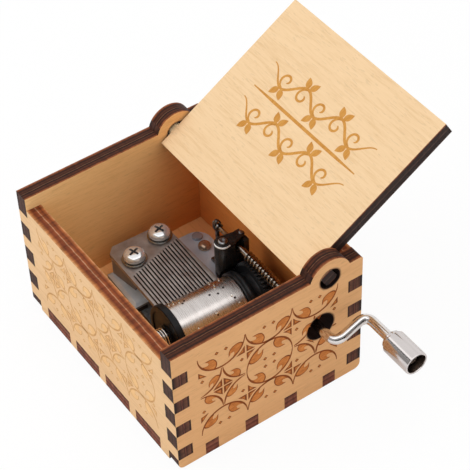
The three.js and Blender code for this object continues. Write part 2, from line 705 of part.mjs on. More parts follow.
function bedplate() {
  const footBack = combTipX - combLong + ledgeBackInset - ledgeEdge;
  const flangeFoot = block(footBack, combTipX - flangeTo, ledgeLeft - flangeWide, ledgeLeft + flangeWide, floorZ, baseTop);
  const underComb = block(footBack, -keelWide + cutOver, ledgeLeft + flangeWide / 2, blockRight, floorZ, baseTop);
  const keel = block(-keelWide, keelWide, frontLug - lugThick / 2, backLug + 1.2 * lugThick, floorZ, baseTop);
  const wing = block(keelWide - cutOver, wingTo, mountBoss[1] - bossRadius - baseThick, deckBackRight, floorZ, baseTop);
  const deck = solid(risen(deckOutline(), floorZ, deckHigh, 6));
  const shaftLug = solid(drawn(outline([[shaftY - shaftLugWide, floorZ], [shaftY + shaftLugWide, floorZ],
    [shaftY + shaftLugWide, shaftZ], [shaftY + shaftLugWide / 2, shaftZ + shaftLugWide],
    [shaftY - shaftLugWide / 2, shaftZ + shaftLugWide], [shaftY - shaftLugWide, shaftZ]]),
    shaftLugX, shaftLugX + lugThick).applyMatrix4(caseToMovement));
  const shaftBore = solid(alongX(bore(rodRadius + runGap, shaftLugX - cutOver, shaftLugX + lugThick + cutOver, 16))
    .translate(0, shaftY, shaftZ).applyMatrix4(caseToMovement));
  const boss = solid(alongZ(rod(bossRadius, floorZ, floorZ + bossHigh, 20)).translate(...mountBoss, 0));
  const tapped = ([x, y]) =>
    solid(alongZ(bore(mountShank + glueGap, floorZ - cutOver, floorZ + mountGrip + seatGap, 12)).translate(x, y, 0));
  const combHole = ([u, v]) =>
    solid(alongZ(bore(screwShank + glueGap, -screwDeep - seatGap, cutOver, 12)).translate(u, v, 0)
      .applyMatrix4(combFrame));
  const studHole = ([x, y]) =>
    solid(alongZ(bore(studShank + glueGap, deckHigh - studDeep - seatGap, deckHigh + cutOver, 12)).translate(x, y, 0));
  const body = cut(
    join(flangeFoot, underComb, keel, wing, deck, combBlock(), arborLug(frontLug, drumZ),
      arborLug(backLug, drumZ), shaftLug, boss),
    block(-windowWide, windowWide, windowFrom, windowTo, floorZ - cutOver, baseTop + cutOver),
    solid(rod(capRadius + 2 * runGap, capFrom - capHubLong - runGap, drumFrom + runGap, 40).translate(0, 0, drumZ)),
    shaftBore, ...combScrews.map(combHole), tapped(mountBlock), tapped(mountBoss),
    studHole(deckPinAt), studHole(deckStudAt));
  return named('Bedplate', body, zinc);
}

function mountScrew(k, [x, y]) {
  const top = floorZ + mountGrip;
  const profile = [[0, mountSink], [mountHead, mountSink], [mountShank, mountSink + mountHeadHigh],
    [mountShank, top], [0, top]];
  const body = cut(solid(alongZ(turned(profile, 20)).translate(x, y, 0)),
    block(x - mountHead * 0.6, x + mountHead * 0.6, y - mountShank / 5, y + mountShank / 5, 0,
      mountSink + mountHeadHigh / 2));
  return named('Mount_Screw_' + (k + 1), body, nickel);
}

function deckPin() {
  const [x, y] = deckPinAt;
  const z = deckHigh + glueGap;
  const profile = [[0, deckHigh - studDeep], [studShank, deckHigh - studDeep], [studShank, z], [deckPinRadius, z],
    [deckPinRadius, z + deckPinHigh * 0.7], [deckPinRadius * 0.8, z + deckPinHigh], [0, z + deckPinHigh]];
  return named('Deck_Pin', solid(alongZ(turned(profile, 20)).translate(x, y, 0)), nickel);
}

function deckStud() {
  const [x, y] = deckStudAt;
  const z = deckHigh + glueGap;
  const profile = [[0, deckHigh - studDeep], [studShank, deckHigh - studDeep], [studShank, z], [deckStudRadius, z],
    [deckStudRadius, z + deckStudHigh * 0.35], [deckStudRadius * 0.87, z + deckStudHigh * 0.68],
    [deckStudRadius * 0.5, z + deckStudHigh * 0.93], [0, z + deckStudHigh]];
  return named('Deck_Stud', solid(alongZ(turned(profile, 20)).translate(x, y, 0)), brass);
}

// ---- cylinder: pinned drum, end cap, worm wheel and arbor on one axis
function drum() {
  const hole = arborRadius + seatGap;
  const profile = [[hole, drumFrom], [drumRadius, drumFrom], [drumRadius, drumTo], [hole, drumTo], [hole, drumFrom]];
  let body = solid(turned(profile, 48));
  const sunk = pinHigh;
  const golden = Math.PI * (3 - Math.sqrt(5));
  for (let i = 0; i < notes; i++) {
    const y = noteAt(i);
    if (y < drumFrom + 2 * pinRadius || y > drumTo - 2 * pinRadius) continue;
    for (let k = 0; k < pinsPerNote; k++) {
      const angle = golden * (i * pinsPerNote + k) + k * 2 * Math.PI / pinsPerNote;
      const pin = new THREE.CylinderGeometry(pinRadius * 0.8, pinRadius, pinHigh + sunk, 4);
      pin.translate(0, drumRadius + (pinHigh - sunk) / 2, 0).rotateX(-Math.PI / 2).rotateY(angle);
      body = body.add(solid(pin.translate(0, y, 0)));
    }
  }
  const mesh = named('Cylinder_Drum', body, drumSteel);
  mesh.position.z = drumZ;
  return mesh;
}

function endCap() {
  const hole = arborRadius + seatGap;
  const to = drumFrom - drumGap;
  const g = to - capRim;
  const chamfer = capGroove;
  const profile = [[hole, capFrom - capHubLong], [capHub, capFrom - capHubLong], [capHub, capFrom + capHollowDeep],
    [capHollow, capFrom + capHollowDeep], [capHollow + chamfer, capFrom], [capRadius - chamfer, capFrom],
    [capRadius, capFrom + chamfer], [capRadius, g - capGrooveWide], [capRadius - capGroove, g - capGrooveWide],
    [capRadius - capGroove, g], [capRadius, g], [capRadius, to], [hole, to], [hole, capFrom - capHubLong]];
  const mesh = named('Cylinder_End_Cap', solid(turned(profile, 40)), blackPlastic);
  mesh.position.z = drumZ;
  return mesh;
}

function toothedRim() {
  const tip = wheelPitchRadius + toothAddendum;
  const root = wheelPitchRadius - toothDedendum;
  const lean = flankShare;
  const half = toothPitch / 4 - wormBacklash / 4;
  const points = [];
  for (let i = 0; i < wheelTeeth; i++) {
    // a gap of the rim faces the worm's ridge at the top
    const mid = Math.PI / 2 + (i + 0.5) * 2 * Math.PI / wheelTeeth;
    for (const [r, w] of [[root, -half - lean * toothDedendum], [tip, -half + lean * toothAddendum],
      [tip, half - lean * toothAddendum], [root, half + lean * toothDedendum]]) {
      const a = mid + w / wheelPitchRadius;
      points.push([r * Math.cos(a), r * Math.sin(a)]);
    }
  }
  // drawn along the arbor, each end turned by half of the teeth's helix
  const rim = risen(outline(points), 0, wheelFace);
  const place = rim.attributes.position;
  const twist = Math.tan(wheelHelix) / wheelPitchRadius;
  for (let i = 0; i < place.count; i++) {
    const along = wheelMid + wheelFace / 2 - place.getZ(i);
    const a = twist * (along - wheelMid);
    const [x, z] = [place.getX(i), place.getY(i)];
    place.setXYZ(i, x * Math.cos(a) + z * Math.sin(a), along, z * Math.cos(a) - x * Math.sin(a));
  }
  return solid(rim);
}

function wormWheel() {
  const hole = arborRadius + seatGap;
  const from = drumTo + drumGap;
  const mid = (from + flangeLong + wheelFrom) / 2;
  const profile = [[hole, from], [flangeRadius, from], [flangeRadius, from + flangeLong * 0.4],
    [flangeRadius - capGroove, from + flangeLong * 0.4], [flangeRadius - capGroove, from + flangeLong * 0.6],
    [flangeRadius, from + flangeLong * 0.6], [flangeRadius, from + flangeLong], [wheelHub, mid],
    [wheelHub, wheelFrom + seatGap], [capHub, wheelTo - seatGap], [capHub, wheelTo + capHubLong],
    [hole, wheelTo + capHubLong], [hole, from]];
  const body = cut(join(solid(turned(profile, 40)), toothedRim()),
    solid(bore(hole, from - cutOver, wheelTo + capHubLong + cutOver, 40)));
  const mesh = named('Worm_Wheel', body, blackPlastic);
  mesh.position.z = drumZ;
  return mesh;
}

function arbor() {
  const [from, to] = [frontLug - arborOver, backLug + lugThick + arborOver];
  const mesh = named('Cylinder_Arbor', solid(rod(arborRadius, from, to, 14)), nickel);
  mesh.position.z = drumZ;
  return mesh;
}

// coil spring between the end cap's hub and the front bearing: one unbroken wire
function coilSpring() {
  const steps = 8 * coilTurns;
  const sides = 5;
  const from = frontLug + lugThick + seatGap + coilWire;
  const centre = i => {
    const a = 2 * Math.PI * i / 8;
    return new THREE.Vector3(coilRadius * Math.cos(a), from + coilPitch * i / 8, coilRadius * Math.sin(a));
  };
  const positions = [];
  const index = [];
  for (let i = 0; i <= steps; i++) {
    const a = 2 * Math.PI * i / 8;
    const [out, c] = [new THREE.Vector3(Math.cos(a), 0, Math.sin(a)), centre(i)];
    for (let k = 0; k < sides; k++) {
      const b = 2 * Math.PI * k / sides;
      const p = c.clone().addScaledVector(out, coilWire * Math.cos(b));
      positions.push(p.x, p.y + coilWire * Math.sin(b), p.z);
    }
  }
  for (let i = 0; i < steps; i++) {
    for (let k = 0; k < sides; k++) {
      const [a, b, c, d] = [i * sides + k, (i + 1) * sides + k, (i + 1) * sides + (k + 1) % sides, i * sides + (k + 1) % sides];
      index.push(a, c, b, a, d, c);
    }
  }
  const last = steps * sides;
  for (let k = 1; k < sides - 1; k++) {
    index.push(0, k + 1, k, last, last + k, last + k + 1);
  }
  const geometry = new THREE.BufferGeometry();
  geometry.setAttribute('position', new THREE.BufferAttribute(new Float32Array(positions), 3));
  geometry.setIndex(index);
  let least = Infinity;
  for (let i = 0; i <= steps; i++) {
    for (let j = i + 5; j <= steps; j++) least = Math.min(least, centre(i).distanceTo(centre(j)) - 2 * coilWire);
  }
  console.log('coil spring, least gap between turns:', least.toFixed(2), 'mm');
  const mesh = named('Arbor_Spring', solid(geometry), nickel);
  mesh.position.z = drumZ;
  return mesh;
}

// ---- assembly
const movement = new THREE.Group();
movement.position.set(moveX, 0, 0);
movement.rotation.z = -skew;
movement.add(bedplate(), comb(), combWasher(0), combWasher(1), combScrew(0), combScrew(1),
  drum(), endCap(), wormWheel(), arbor(), coilSpring(), deckPin(), deckStud(),
  mountScrew(0, mountBlock), mountScrew(1, mountBoss));

const group = new THREE.Group();
group.add(floorPanel(),
  crossWall('Front_Wall', -halfY, -inY, frontHigh),
  crossWall('Back_Wall', halfY, inY, backHigh),
  sideWall('Left_Wall', -halfX, -inX, false),
  sideWall('Crank_Side_Wall', halfX, inX, true),
  lid(), crankShaft(), knob(), retainer(), shaftBracket(), bracketPlate(), rivet(), tack(),
  endBearing(), shaftClip(), movement);

export default group;
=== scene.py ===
# %% [markdown]
# # A hand crank music box
#
# The real object is a small plywood box, cut by a laser, with an open lid. Inside stands a
# movement: a steel comb, a pinned drum, a black wheel and a worm that the bent crank turns.
# The packed model already holds every piece at its true size and place. This lesson loads it,
# gives each piece its finish, and remodels the round and shiny pieces finely enough for a close look.

# %% Load the fixed frame
import math
import bpy
from mathutils import Matrix, Vector


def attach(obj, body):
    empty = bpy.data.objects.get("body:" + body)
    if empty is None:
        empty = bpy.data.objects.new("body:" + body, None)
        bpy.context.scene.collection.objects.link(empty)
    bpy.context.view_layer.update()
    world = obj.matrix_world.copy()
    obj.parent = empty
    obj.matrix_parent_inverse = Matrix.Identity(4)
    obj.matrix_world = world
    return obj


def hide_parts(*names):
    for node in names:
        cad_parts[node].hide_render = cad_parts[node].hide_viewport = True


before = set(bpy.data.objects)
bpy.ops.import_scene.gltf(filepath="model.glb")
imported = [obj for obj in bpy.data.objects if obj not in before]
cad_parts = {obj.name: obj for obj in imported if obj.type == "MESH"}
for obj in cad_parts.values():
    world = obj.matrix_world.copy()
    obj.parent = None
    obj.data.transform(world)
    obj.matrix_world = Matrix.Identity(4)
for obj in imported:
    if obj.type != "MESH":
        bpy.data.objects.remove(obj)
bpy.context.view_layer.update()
MM = 0.001

# %% [markdown]
# ## Camera
# The camera stands to the right of the box and well above it, and looks down over its front
# corner. Its place and lens were worked out beforehand from the box's corners in the picture.
# A long lens is used because the box's edges hardly converge.

# %% Place the camera
PICTURE_WIDE = 470              # pixels
FOCAL_LENGTH = 1760.83          # in the same pixels
SENSOR = 36
CAMERA_PLACE = Vector((239.63, -144.85, 317.5)) * MM
CAMERA_TURN = (56.60, 45.51, -2.42)     # azimuth, elevation and roll, in degrees


def looking(azimuth, elevation, roll):
    """How a camera is turned that looks down on the box from that side."""
    a, e, r = (math.radians(v) for v in (azimuth, elevation, roll))
    back = Vector((math.sin(a) * math.cos(e), -math.cos(a) * math.cos(e), math.sin(e)))
    right = Vector((math.cos(a), math.sin(a), 0))
    up = back.cross(right)
    side = right * math.cos(r) + up * math.sin(r)
    top = up * math.cos(r) - right * math.sin(r)
    return Matrix((side, top, back)).transposed().to_4x4()


bpy.ops.object.camera_add()
camera = bpy.context.object
camera.name = "Photo_Camera"
camera.matrix_world = Matrix.Translation(CAMERA_PLACE) @ looking(*CAMERA_TURN)
camera.data.sensor_width = SENSOR
camera.data.lens = FOCAL_LENGTH / PICTURE_WIDE * SENSOR
camera.data.clip_start = 0.01
bpy.context.scene.camera = camera
print("lens:", round(camera.data.lens, 1), "mm")

# %% [markdown]
# ## Small helpers for materials
# A material is a graph of nodes. Most finishes here need the same few steps: read the piece's own
# coordinates, stretch them, feed a noise, and turn its value into a colour through a ramp. The
# graph could be drawn by hand in the editor. In code two small classes keep each step to one
# line: the first lets a sum of nodes be written as a sum.

# %% A number that changes over a surface
class Value:
    """Wraps a socket. A sum or a comparison with it adds a Math node."""

    def __init__(self, finish, socket):
        self.finish = finish
        self.socket = socket

    def worked(self, operation, first, second=0.0):
        node = self.finish.node("ShaderNodeMath", {"operation": operation}, {0: first, 1: second})
        return Value(self.finish, node.outputs[0])

    def __add__(self, other):
        return self.worked("ADD", self, other)

    def __sub__(self, other):
        return self.worked("SUBTRACT", self, other)

    def __rsub__(self, other):
        return self.worked("SUBTRACT", other, self)

    def __mul__(self, other):
        return self.worked("MULTIPLY", self, other)

    def __truediv__(self, other):
        return self.worked("DIVIDE", self, other)

    def __lt__(self, other):
        return self.worked("LESS_THAN", self, other)

    def __gt__(self, other):
        return self.worked("GREATER_THAN", self, other)

    def __abs__(self):
        return self.worked("ABSOLUTE", self)

    __radd__ = __add__
    __rmul__ = __mul__


print("methods of a Value:", [name.strip("_") for name, made in vars(Value).items() if callable(made)])

# %% A material and the steps of its graph
class Finish:
    """One material, and the few kinds of nodes that its graph is made of."""

    def __init__(self, name, roughness=0.5, metallic=0.0, specular=0.5):
        self.material = bpy.data.materials.new(name)
        self.material.use_nodes = True
        self.shader = self.material.node_tree.nodes["Principled BSDF"]
        self.fill(self.shader, {"Roughness": roughness, "Metallic": metallic, "Specular IOR Level": specular})
        coordinates = self.node("ShaderNodeTexCoord")
        self.place, self.normal = coordinates.outputs["Object"], coordinates.outputs["Normal"]

    def fill(self, node, inputs):
        """Links each input to a socket or a Value, or sets it to a constant."""
        for key, value in inputs.items():
            value = getattr(value, "socket", value)
            if isinstance(value, bpy.types.NodeSocket):
                self.material.node_tree.links.new(value, node.inputs[key])
            elif node.inputs[key].type == "RGBA" and len(value) == 3:
                node.inputs[key].default_value = (*value, 1)
            else:
                node.inputs[key].default_value = value

    def node(self, kind, settings=None, inputs=None):
        """A node with its settings, which come first, and the values or links of its sockets."""
        node = self.material.node_tree.nodes.new(kind)
        for key, value in (settings or {}).items():
            if key == "stops":
                self.set_stops(node.color_ramp.elements, value)
            else:
                setattr(node, key, value)
        self.fill(node, inputs or {})
        return node

    def set_stops(self, elements, stops):
        """A stop is a position with a colour, or with a single number for a grey."""
        while len(elements) < len(stops):
            elements.new(0.5)
        for element, (position, colour) in zip(elements, stops):
            element.position = position
            element.color = (colour, colour, colour, 1) if isinstance(colour, float) else (*colour, 1)

    def mapped(self, scale=(1, 1, 1), vector=None, turn=(0, 0, 0), shift=(0, 0, 0)):
        inputs = {"Vector": vector or self.place, "Scale": scale, "Rotation": turn, "Location": shift}
        return self.node("ShaderNodeMapping", {}, inputs).outputs[0]

    def noise(self, vector, detail=3.0, roughness=0.6):
        inputs = {"Vector": vector, "Scale": 1.0, "Detail": detail, "Roughness": roughness}
        return Value(self, self.node("ShaderNodeTexNoise", {}, inputs).outputs["Fac"])

    def grain(self, scale, detail=3.0, roughness=0.6):
        """Noise with the same scale every way."""
        return self.noise(self.mapped((scale,) * 3), detail, roughness)

    def ramp(self, value, stops):
        return Value(self, self.node("ShaderNodeValToRGB", {"stops": stops}, {"Fac": value}).outputs["Color"])

    def mix(self, mask, first, second, blend="MIX"):
        settings = {"data_type": "RGBA", "blend_type": blend}
        return self.node("ShaderNodeMix", settings, {0: mask, 6: first, 7: second}).outputs[2]

    def part(self, vector, axis):
        return Value(self, self.node("ShaderNodeSeparateXYZ", {}, {0: vector}).outputs[axis])

    def vector(self, operation, first, second=(0, 0, 0)):
        """Works with two vectors. A length or a dot product comes out as a Value."""
        outputs = self.node("ShaderNodeVectorMath", {"operation": operation}, {0: first, 1: second}).outputs
        return Value(self, outputs["Value"]) if operation in ("LENGTH", "DOT_PRODUCT") else outputs["Vector"]

    def off_axis(self, point, keep):
        """The way here from a line through the point. keep is 0 along the line's axis and 1 across it."""
        return self.vector("MULTIPLY", self.vector("SUBTRACT", self.place, point), keep)

    def combined(self, x, y, z=0.0):
        return self.node("ShaderNodeCombineXYZ", {}, {0: x, 1: y, 2: z}).outputs[0]

    def bump(self, height, strength, distance):
        inputs = {"Height": height, "Strength": strength, "Distance": distance}
        return self.node("ShaderNodeBump", {}, inputs).outputs[0]

    def glow(self, tone):
        return self.node("ShaderNodeEmission", {}, {"Color": (tone,) * 3})

    def show_to(self, rays, share, usual, special):
        """Shows one kind of rays a share of the special shader, and all other rays the usual one."""
        mask = Value(self, self.node("ShaderNodeLightPath").outputs[rays]) * share
        both = self.node("ShaderNodeMixShader", {}, {0: mask, 1: usual.outputs[0], 2: special.outputs[0]})
        self.fill(self.material.node_tree.nodes["Material Output"], {"Surface": both.outputs[0]})
        return self.material

    def finish(self, **sockets):
        self.fill(self.shader, {key.replace("_", " "): value for key, value in sockets.items()})
        return self.material


print("steps:", [name for name in vars(Finish) if not name.startswith("_")])

# %% Colours, and a finish for a packed piece
def srgb(red, green, blue):
    """A colour read off a screen, from 0 to 255, as the linear values that a shader wants."""
    shares = (red / 255, green / 255, blue / 255)
    return tuple(v / 12.92 if v < 0.04045 else ((v + 0.055) / 1.055) ** 2.4 for v in shares)


def shades(*rows):
    """Stops for a ramp, each from a position and a screen colour."""
    return [(position, srgb(*colour)) for position, *colour in rows]


def toned(colour, *factors):
    """The colour with each of its channels multiplied."""
    factors = factors * 3 if len(factors) == 1 else factors
    return tuple(min(1, c * f) for c, f in zip(colour, factors))


def dress(material, *names):
    """Gives CAD nodes a material without touching their meshes."""
    for name in names:
        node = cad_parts[name]
        if not node.material_slots:
            node.data.materials.append(material)
        for slot in node.material_slots:
            slot.material = material


print("screen grey 128 is", round(srgb(128, 128, 128)[0], 3))

# %% [markdown]
# ## Plywood
# The panels are thin birch plywood. Their faces are pale with a fine, faint grain. The laser has
# burnt every cut edge dark brown, and the layers show there as stripes along the panel.
# Each layer could be a piece of its own, but one graph does it all: the object's own normal tells
# a face from an edge, and the coordinate across the sheet tells which layer a point of an edge
# lies in. Round the crank's and the hinge's holes the heat has blackened the wood, so the tone
# follows the distance from their axis.

# %% The burnt layers of the edges, from the inner face to the outer one
BURNT = (31, 14, 7)
CHAR = srgb(*BURNT)
SOOT = [(0.42, 0.0), (0.72, 1.0)]
# the burnt layers and the char are the wood's own; the ramps for edges facing up are lighter, painted light,
# and those for the other edges darker, painted shade
LIT_TOP_EDGE = shades((0.0, 170, 104, 62), (0.09, 124, 64, 34), (0.17, 50, 23, 12), (0.29, 88, 44, 25),
                  (0.38, *BURNT), (0.44, 40, 19, 10), (0.47, 126, 80, 54), (0.51, 44, 21, 12),
                  (0.64, 80, 40, 22), (0.77, *BURNT), (0.87, 106, 52, 28), (1.0, 166, 100, 60))
LIT_WARM_EDGE = shades((0.0, 204, 146, 96), (0.10, 166, 92, 48), (0.24, 112, 52, 26), (0.42, 150, 78, 40),
                   (0.47, 190, 142, 108), (0.52, 136, 66, 34), (0.74, 118, 56, 30), (0.88, 176, 106, 58),
                   (1.0, 214, 160, 108))
SHADED_TAB_END = shades((0.0, 88, 54, 40), (0.07, *BURNT), (0.14, 110, 67, 47), (0.36, 88, 48, 33),
                 (0.42, 42, 21, 16), (0.47, 132, 70, 52), (0.53, 50, 26, 20), (0.60, 104, 62, 44),
                 (0.80, 78, 42, 29), (0.90, *BURNT), (1.0, 56, 31, 22))
SHADED_PLAIN_END = shades((0.0, *BURNT), (0.12, 62, 34, 24), (0.4, 82, 49, 36), (0.5, 48, 25, 17),
                   (0.62, 82, 50, 40), (0.88, 58, 33, 26), (1.0, *BURNT))
FLOOR_END = shades((0.0, 104, 54, 38), (0.3, 138, 76, 56), (0.5, 92, 42, 28), (0.62, 142, 82, 60),
                   (1.0, 80, 40, 28))
LID_EDGE = shades((0.0, 176, 104, 60), (0.08, 104, 52, 30), (0.16, 42, 24, 19), (0.45, 52, 32, 26),
                  (0.52, 82, 55, 45), (0.60, 40, 24, 19), (0.9, 46, 28, 22), (1.0, 88, 50, 34))
print("layers on a top edge:", len(LIT_TOP_EDGE))

# %% Faces, edges and scorched holes
def wood_grain(m, along, face, place=None, seed=0.0):
    """Faces: long thin streaks, soft clouds, and short dark pores."""
    def noise(wide, long_, detail, roughness):
        scale = [wide] * 3
        scale[along] = long_
        return m.noise(m.mapped(scale, place, shift=(seed, seed, seed)), detail, roughness)
    streaks = noise(1700, 130, 4, 0.65)
    clouds = noise(170, 60, 3, 0.55)
    pores = noise(2600, 420, 1, 0.5)
    dark, light = toned(face, 0.90, 0.86, 0.80), toned(face, 1.04, 1.05, 1.07)
    wood = m.ramp(streaks, [(0.3, dark), (0.5, face), (0.72, light)])
    wood = m.mix(clouds * 0.2, wood, toned(face, 0.84, 0.76, 0.66))
    wood = m.mix((pores > 0.66) * 0.22, wood, toned(face, 0.6))
    return wood, streaks, pores


def burnt_layers(m, place, across, middle, thick, seed=0.0):
    """Edges: how deep in the sheet a point lies, from 0 to 1, with a slight waver, and the soot there."""
    waver = m.noise(m.mapped((520, 520, 520), place))
    layer = (m.part(place, across) - middle) / thick + 0.5 + (waver - 0.5) * 0.1
    scale = [900, 900, 900]
    scale[across] = 200
    return layer, m.noise(m.mapped(scale, place, shift=(seed, seed, 0)), 4, 0.7)


def scorched_round(m, wood, plies, soot, y, z, radius):
    """Blackens the wood round a hole whose axis lies along X."""
    far = m.vector("LENGTH", m.off_axis((0, y * MM, z * MM), (0, 1, 1)))
    near = (far + (soot - 0.5) * 0.0004 - radius * MM) / 0.0005
    wood = m.mix(m.ramp(near, [(0.0, 1.0), (0.35, 0.65), (1.0, 0.0)]), wood, srgb(70, 38, 24))
    # the wall inside the hole is made near black: burnt wood, darkened further as painted shade in the hole
    return wood, m.mix(far < (radius + 0.05) * MM, plies, srgb(26, 16, 15))


def plywood(name, across, along, middle, face, inner, outer, edges, holes, seed):
    """across and along are axis numbers: through the sheet, and the way the grain runs. outer is 1 or
    -1, the side of the sheet that faces out. edges holds the layers on a top edge, lighter with painted
    light, and on the others, darker with painted shade."""
    m = Finish(name, roughness=0.62, specular=0.22)
    outward = m.part(m.normal, across)
    wood, streaks, pores = wood_grain(m, along, face, seed=seed)
    if inner:
        # the inside: painted light near the open front, and painted shade, deeper and redder, towards the
        # back and the bottom
        depth = m.part(m.place, 1) * 12.0 - m.part(m.place, 2) * 9.6 + 0.66
        inside_painted_light_and_shade = m.mix(1.0, wood, m.ramp(depth, inner), "MULTIPLY")
        wood = m.mix(outward * outer < -0.5, wood, inside_painted_light_and_shade)
    layer, soot = burnt_layers(m, m.place, across, middle, PLY * outer, seed)
    top, end = (m.ramp(layer, stops) for stops in edges)
    # edges facing up take the lighter ramp, painted light; the others take the darker one, painted shade
    plies = m.mix(m.part(m.normal, 2) > 0.6, end, top)
    plies = m.mix(m.ramp(soot, SOOT) * 0.6, plies, CHAR)
    for y, z, radius in holes:
        wood, plies = scorched_round(m, wood, plies, soot, y, z, radius)
    return m.finish(Base_Color=m.mix(abs(outward) < 0.5, wood, plies), Roughness=streaks * 0.16 + 0.56,
                    Normal=m.bump(streaks + pores * 0.3, 0.22, 0.00006))


print("soot starts at", SOOT[0][0])

# %% Dress the case
CASE_X, CASE_Y, PLY = 32 * MM, 25.5 * MM, 3.9 * MM
HINGE_HOLE, CRANK_HOLE = (16.45, 35.75, 2.7), (13.87, 21.8, 3.7)
SIDE_MIDDLE, FRONT_MIDDLE = CASE_X - PLY / 2, CASE_Y - PLY / 2
# the side walls' wood is a darker, more orange copy of the front's: painted shade
front_wood, shaded_side_wood, floor_wood = srgb(228, 189, 143), srgb(226, 172, 118), srgb(250, 190, 126)
# painted light and shade of the inner faces, from the light front to the dark back: the back wall's is the
# darker one
inner_painted_light_and_shade = [(0.0, (1.27, 1.5, 1.55)), (0.4, (1.16, 1.24, 1.16)), (0.75, (1.0, 0.69, 0.38)),
              (1.0, (0.86, 0.47, 0.18))]
inner_painted_shade = [(0.0, (1.15, 0.78, 0.45)), (1.0, (1.0, 0.5, 0.2))]
side_edges, front_edges, floor_edges = (LIT_TOP_EDGE, SHADED_PLAIN_END), (LIT_WARM_EDGE, SHADED_TAB_END), (FLOOR_END, FLOOR_END)
panels = [
    ("Crank_Side_Wall", "Birch_Crank_Side", 0, 1, SIDE_MIDDLE, shaded_side_wood, inner_painted_light_and_shade, 1.0, side_edges,
     [HINGE_HOLE, CRANK_HOLE], 3.1),
    ("Left_Wall", "Birch_Left_Side", 0, 1, -SIDE_MIDDLE, shaded_side_wood, inner_painted_light_and_shade, -1.0, side_edges,
     [HINGE_HOLE], 7.7),
    ("Front_Wall", "Birch_Front", 1, 0, -FRONT_MIDDLE, front_wood, inner_painted_light_and_shade, -1.0, front_edges, [], 1.9),
    ("Back_Wall", "Birch_Back", 1, 0, FRONT_MIDDLE, front_wood, inner_painted_shade, 1.0, front_edges, [], 5.3),
    ("Floor_Panel", "Birch_Floor", 2, 0, PLY / 2, floor_wood, None, 1.0, floor_edges, [], 9.2)]
for node_name, *sheet in panels:
    dress(plywood(*sheet), node_name)
print("panels dressed:", [row[0] for row in panels])

# %% [markdown]
# ## The lid's plywood
# The lid is the same sheet, but it stands tilted in the open pose, so neither its faces nor its
# layers lie along the main axes. A Mapping node turns the coordinates back to the closed lid
# first, about the hinge, and the same kind of graph follows.

# %% Build the lid's finish
OPEN = math.radians(148.7)
HINGE = Vector((0, *HINGE_HOLE[:2])) * MM
LID_THICK = 3.8 * MM


def lid_finish():
    m = Finish("Birch_Lid", roughness=0.6, specular=0.22)
    # the Mapping node scales, turns, then moves: a turn by OPEN brings the lid back to closed
    closed = m.mapped(turn=(OPEN, 0, 0), shift=-(Matrix.Rotation(OPEN, 3, "X") @ HINGE))
    upward = m.part(m.mapped(vector=m.normal, turn=(OPEN, 0, 0)), 2)
    wood, streaks, _ = wood_grain(m, 0, srgb(231, 199, 157), closed, 2.7)
    layer, soot = burnt_layers(m, closed, 2, 0, LID_THICK)
    plies = m.mix(m.ramp(soot, SOOT) * 0.5, m.ramp(layer, LID_EDGE), srgb(30, 19, 19))
    return m.finish(Base_Color=m.mix(abs(upward) < 0.5, wood, plies), Normal=m.bump(streaks, 0.2, 0.00005))


dress(lid_finish(), "Lid")
print("lid opened by", round(math.degrees(OPEN), 1), "degrees")

# %% [markdown]
# ## Metals and plastics
# The movement has five finishes. The comb is ground steel with fine lines across it, the drum is
# turned and bright, the base is cast zinc with a slightly pebbled skin, the small fittings are
# nickel plated, and the wheel, cap and bracket are black. Plain shader values would look like
# plastic toys, so each one takes its roughness and bump from noise at the scale of the real tool
# marks.

# %% Nickel plate and black plastic
SKEW = math.radians(2.5)           # how far the movement stands turned on the floor


def nickel(name, colour, roughness, metallic=1.0, painted_shade_before=None, recess=False):
    """An X may be given below which the metal is rougher and painted darker: painted shade. recess: a cross
    cut into the head, whose walls are painted dark: painted shade.
    """
    m = Finish(name, roughness=roughness, metallic=metallic)
    fine = m.grain(700)
    rough = fine * (roughness * 0.3) + roughness * 0.85
    tone = m.ramp(fine, [(0.3, toned(colour, 0.94)), (0.7, colour)])
    # painted shade: below the given X the metal is painted darker, and made rougher
    if painted_shade_before:
        inside = m.part(m.place, 0) < painted_shade_before
        tone = m.mix(inside, tone, srgb(172, 162, 152))
        rough = rough + inside * 0.1
    # the walls of the cross are painted dark: painted shade in the recess
    if recess:
        painted_recess_shade = m.node("ShaderNodeAttribute", {"attribute_name": "recess"}).outputs["Fac"]
        tone = m.mix(painted_recess_shade, tone, (0.3, 0.3, 0.31))
    return m.finish(Base_Color=tone, Roughness=rough, Normal=m.bump(fine, 0.02, 0.00002))


def black_finish(name, tone, roughness, specular):
    m = Finish(name, roughness=roughness, specular=specular)
    grain = m.grain(1300)
    colour = m.ramp(grain, [(0.3, toned(tone, 0.8)), (0.8, toned(tone, 1.5))])
    return m.finish(Base_Color=colour, Roughness=grain * 0.12 + roughness - 0.05,
                    Normal=m.bump(grain, 0.12, 0.00003))


bright_nickel = nickel("Bright_Nickel", (0.78, 0.76, 0.74), 0.18)
dull_nickel = nickel("Dull_Nickel", (0.42, 0.42, 0.43), 0.3)
upright_steel = nickel("Dark_Upright_Steel", srgb(96, 90, 86), 0.28, 0.8)
washer_steel = nickel("Washer_Steel", (0.36, 0.35, 0.33), 0.26)
screw_plate = nickel("White_Screw_Plate", (0.86, 0.87, 0.88), 0.15, 0.72, recess=True)
pin_plate = nickel("Blue_Pin_Plate", srgb(168, 174, 184), 0.26, 0.45)
stud_bronze = nickel("Bronze_Stud_Finish", srgb(180, 152, 130), 0.22, 0.7)
wheel_black = black_finish("Wheel_Black_Plastic", (0.010, 0.010, 0.011), 0.3, 0.4)
cap_black = black_finish("Cap_Black_Plastic", (0.007, 0.007, 0.008), 0.36, 0.18)
bracket_black = black_finish("Bracket_Black_Plastic", (0.016, 0.015, 0.015), 0.22, 0.6)
print("materials:", len(bpy.data.materials))

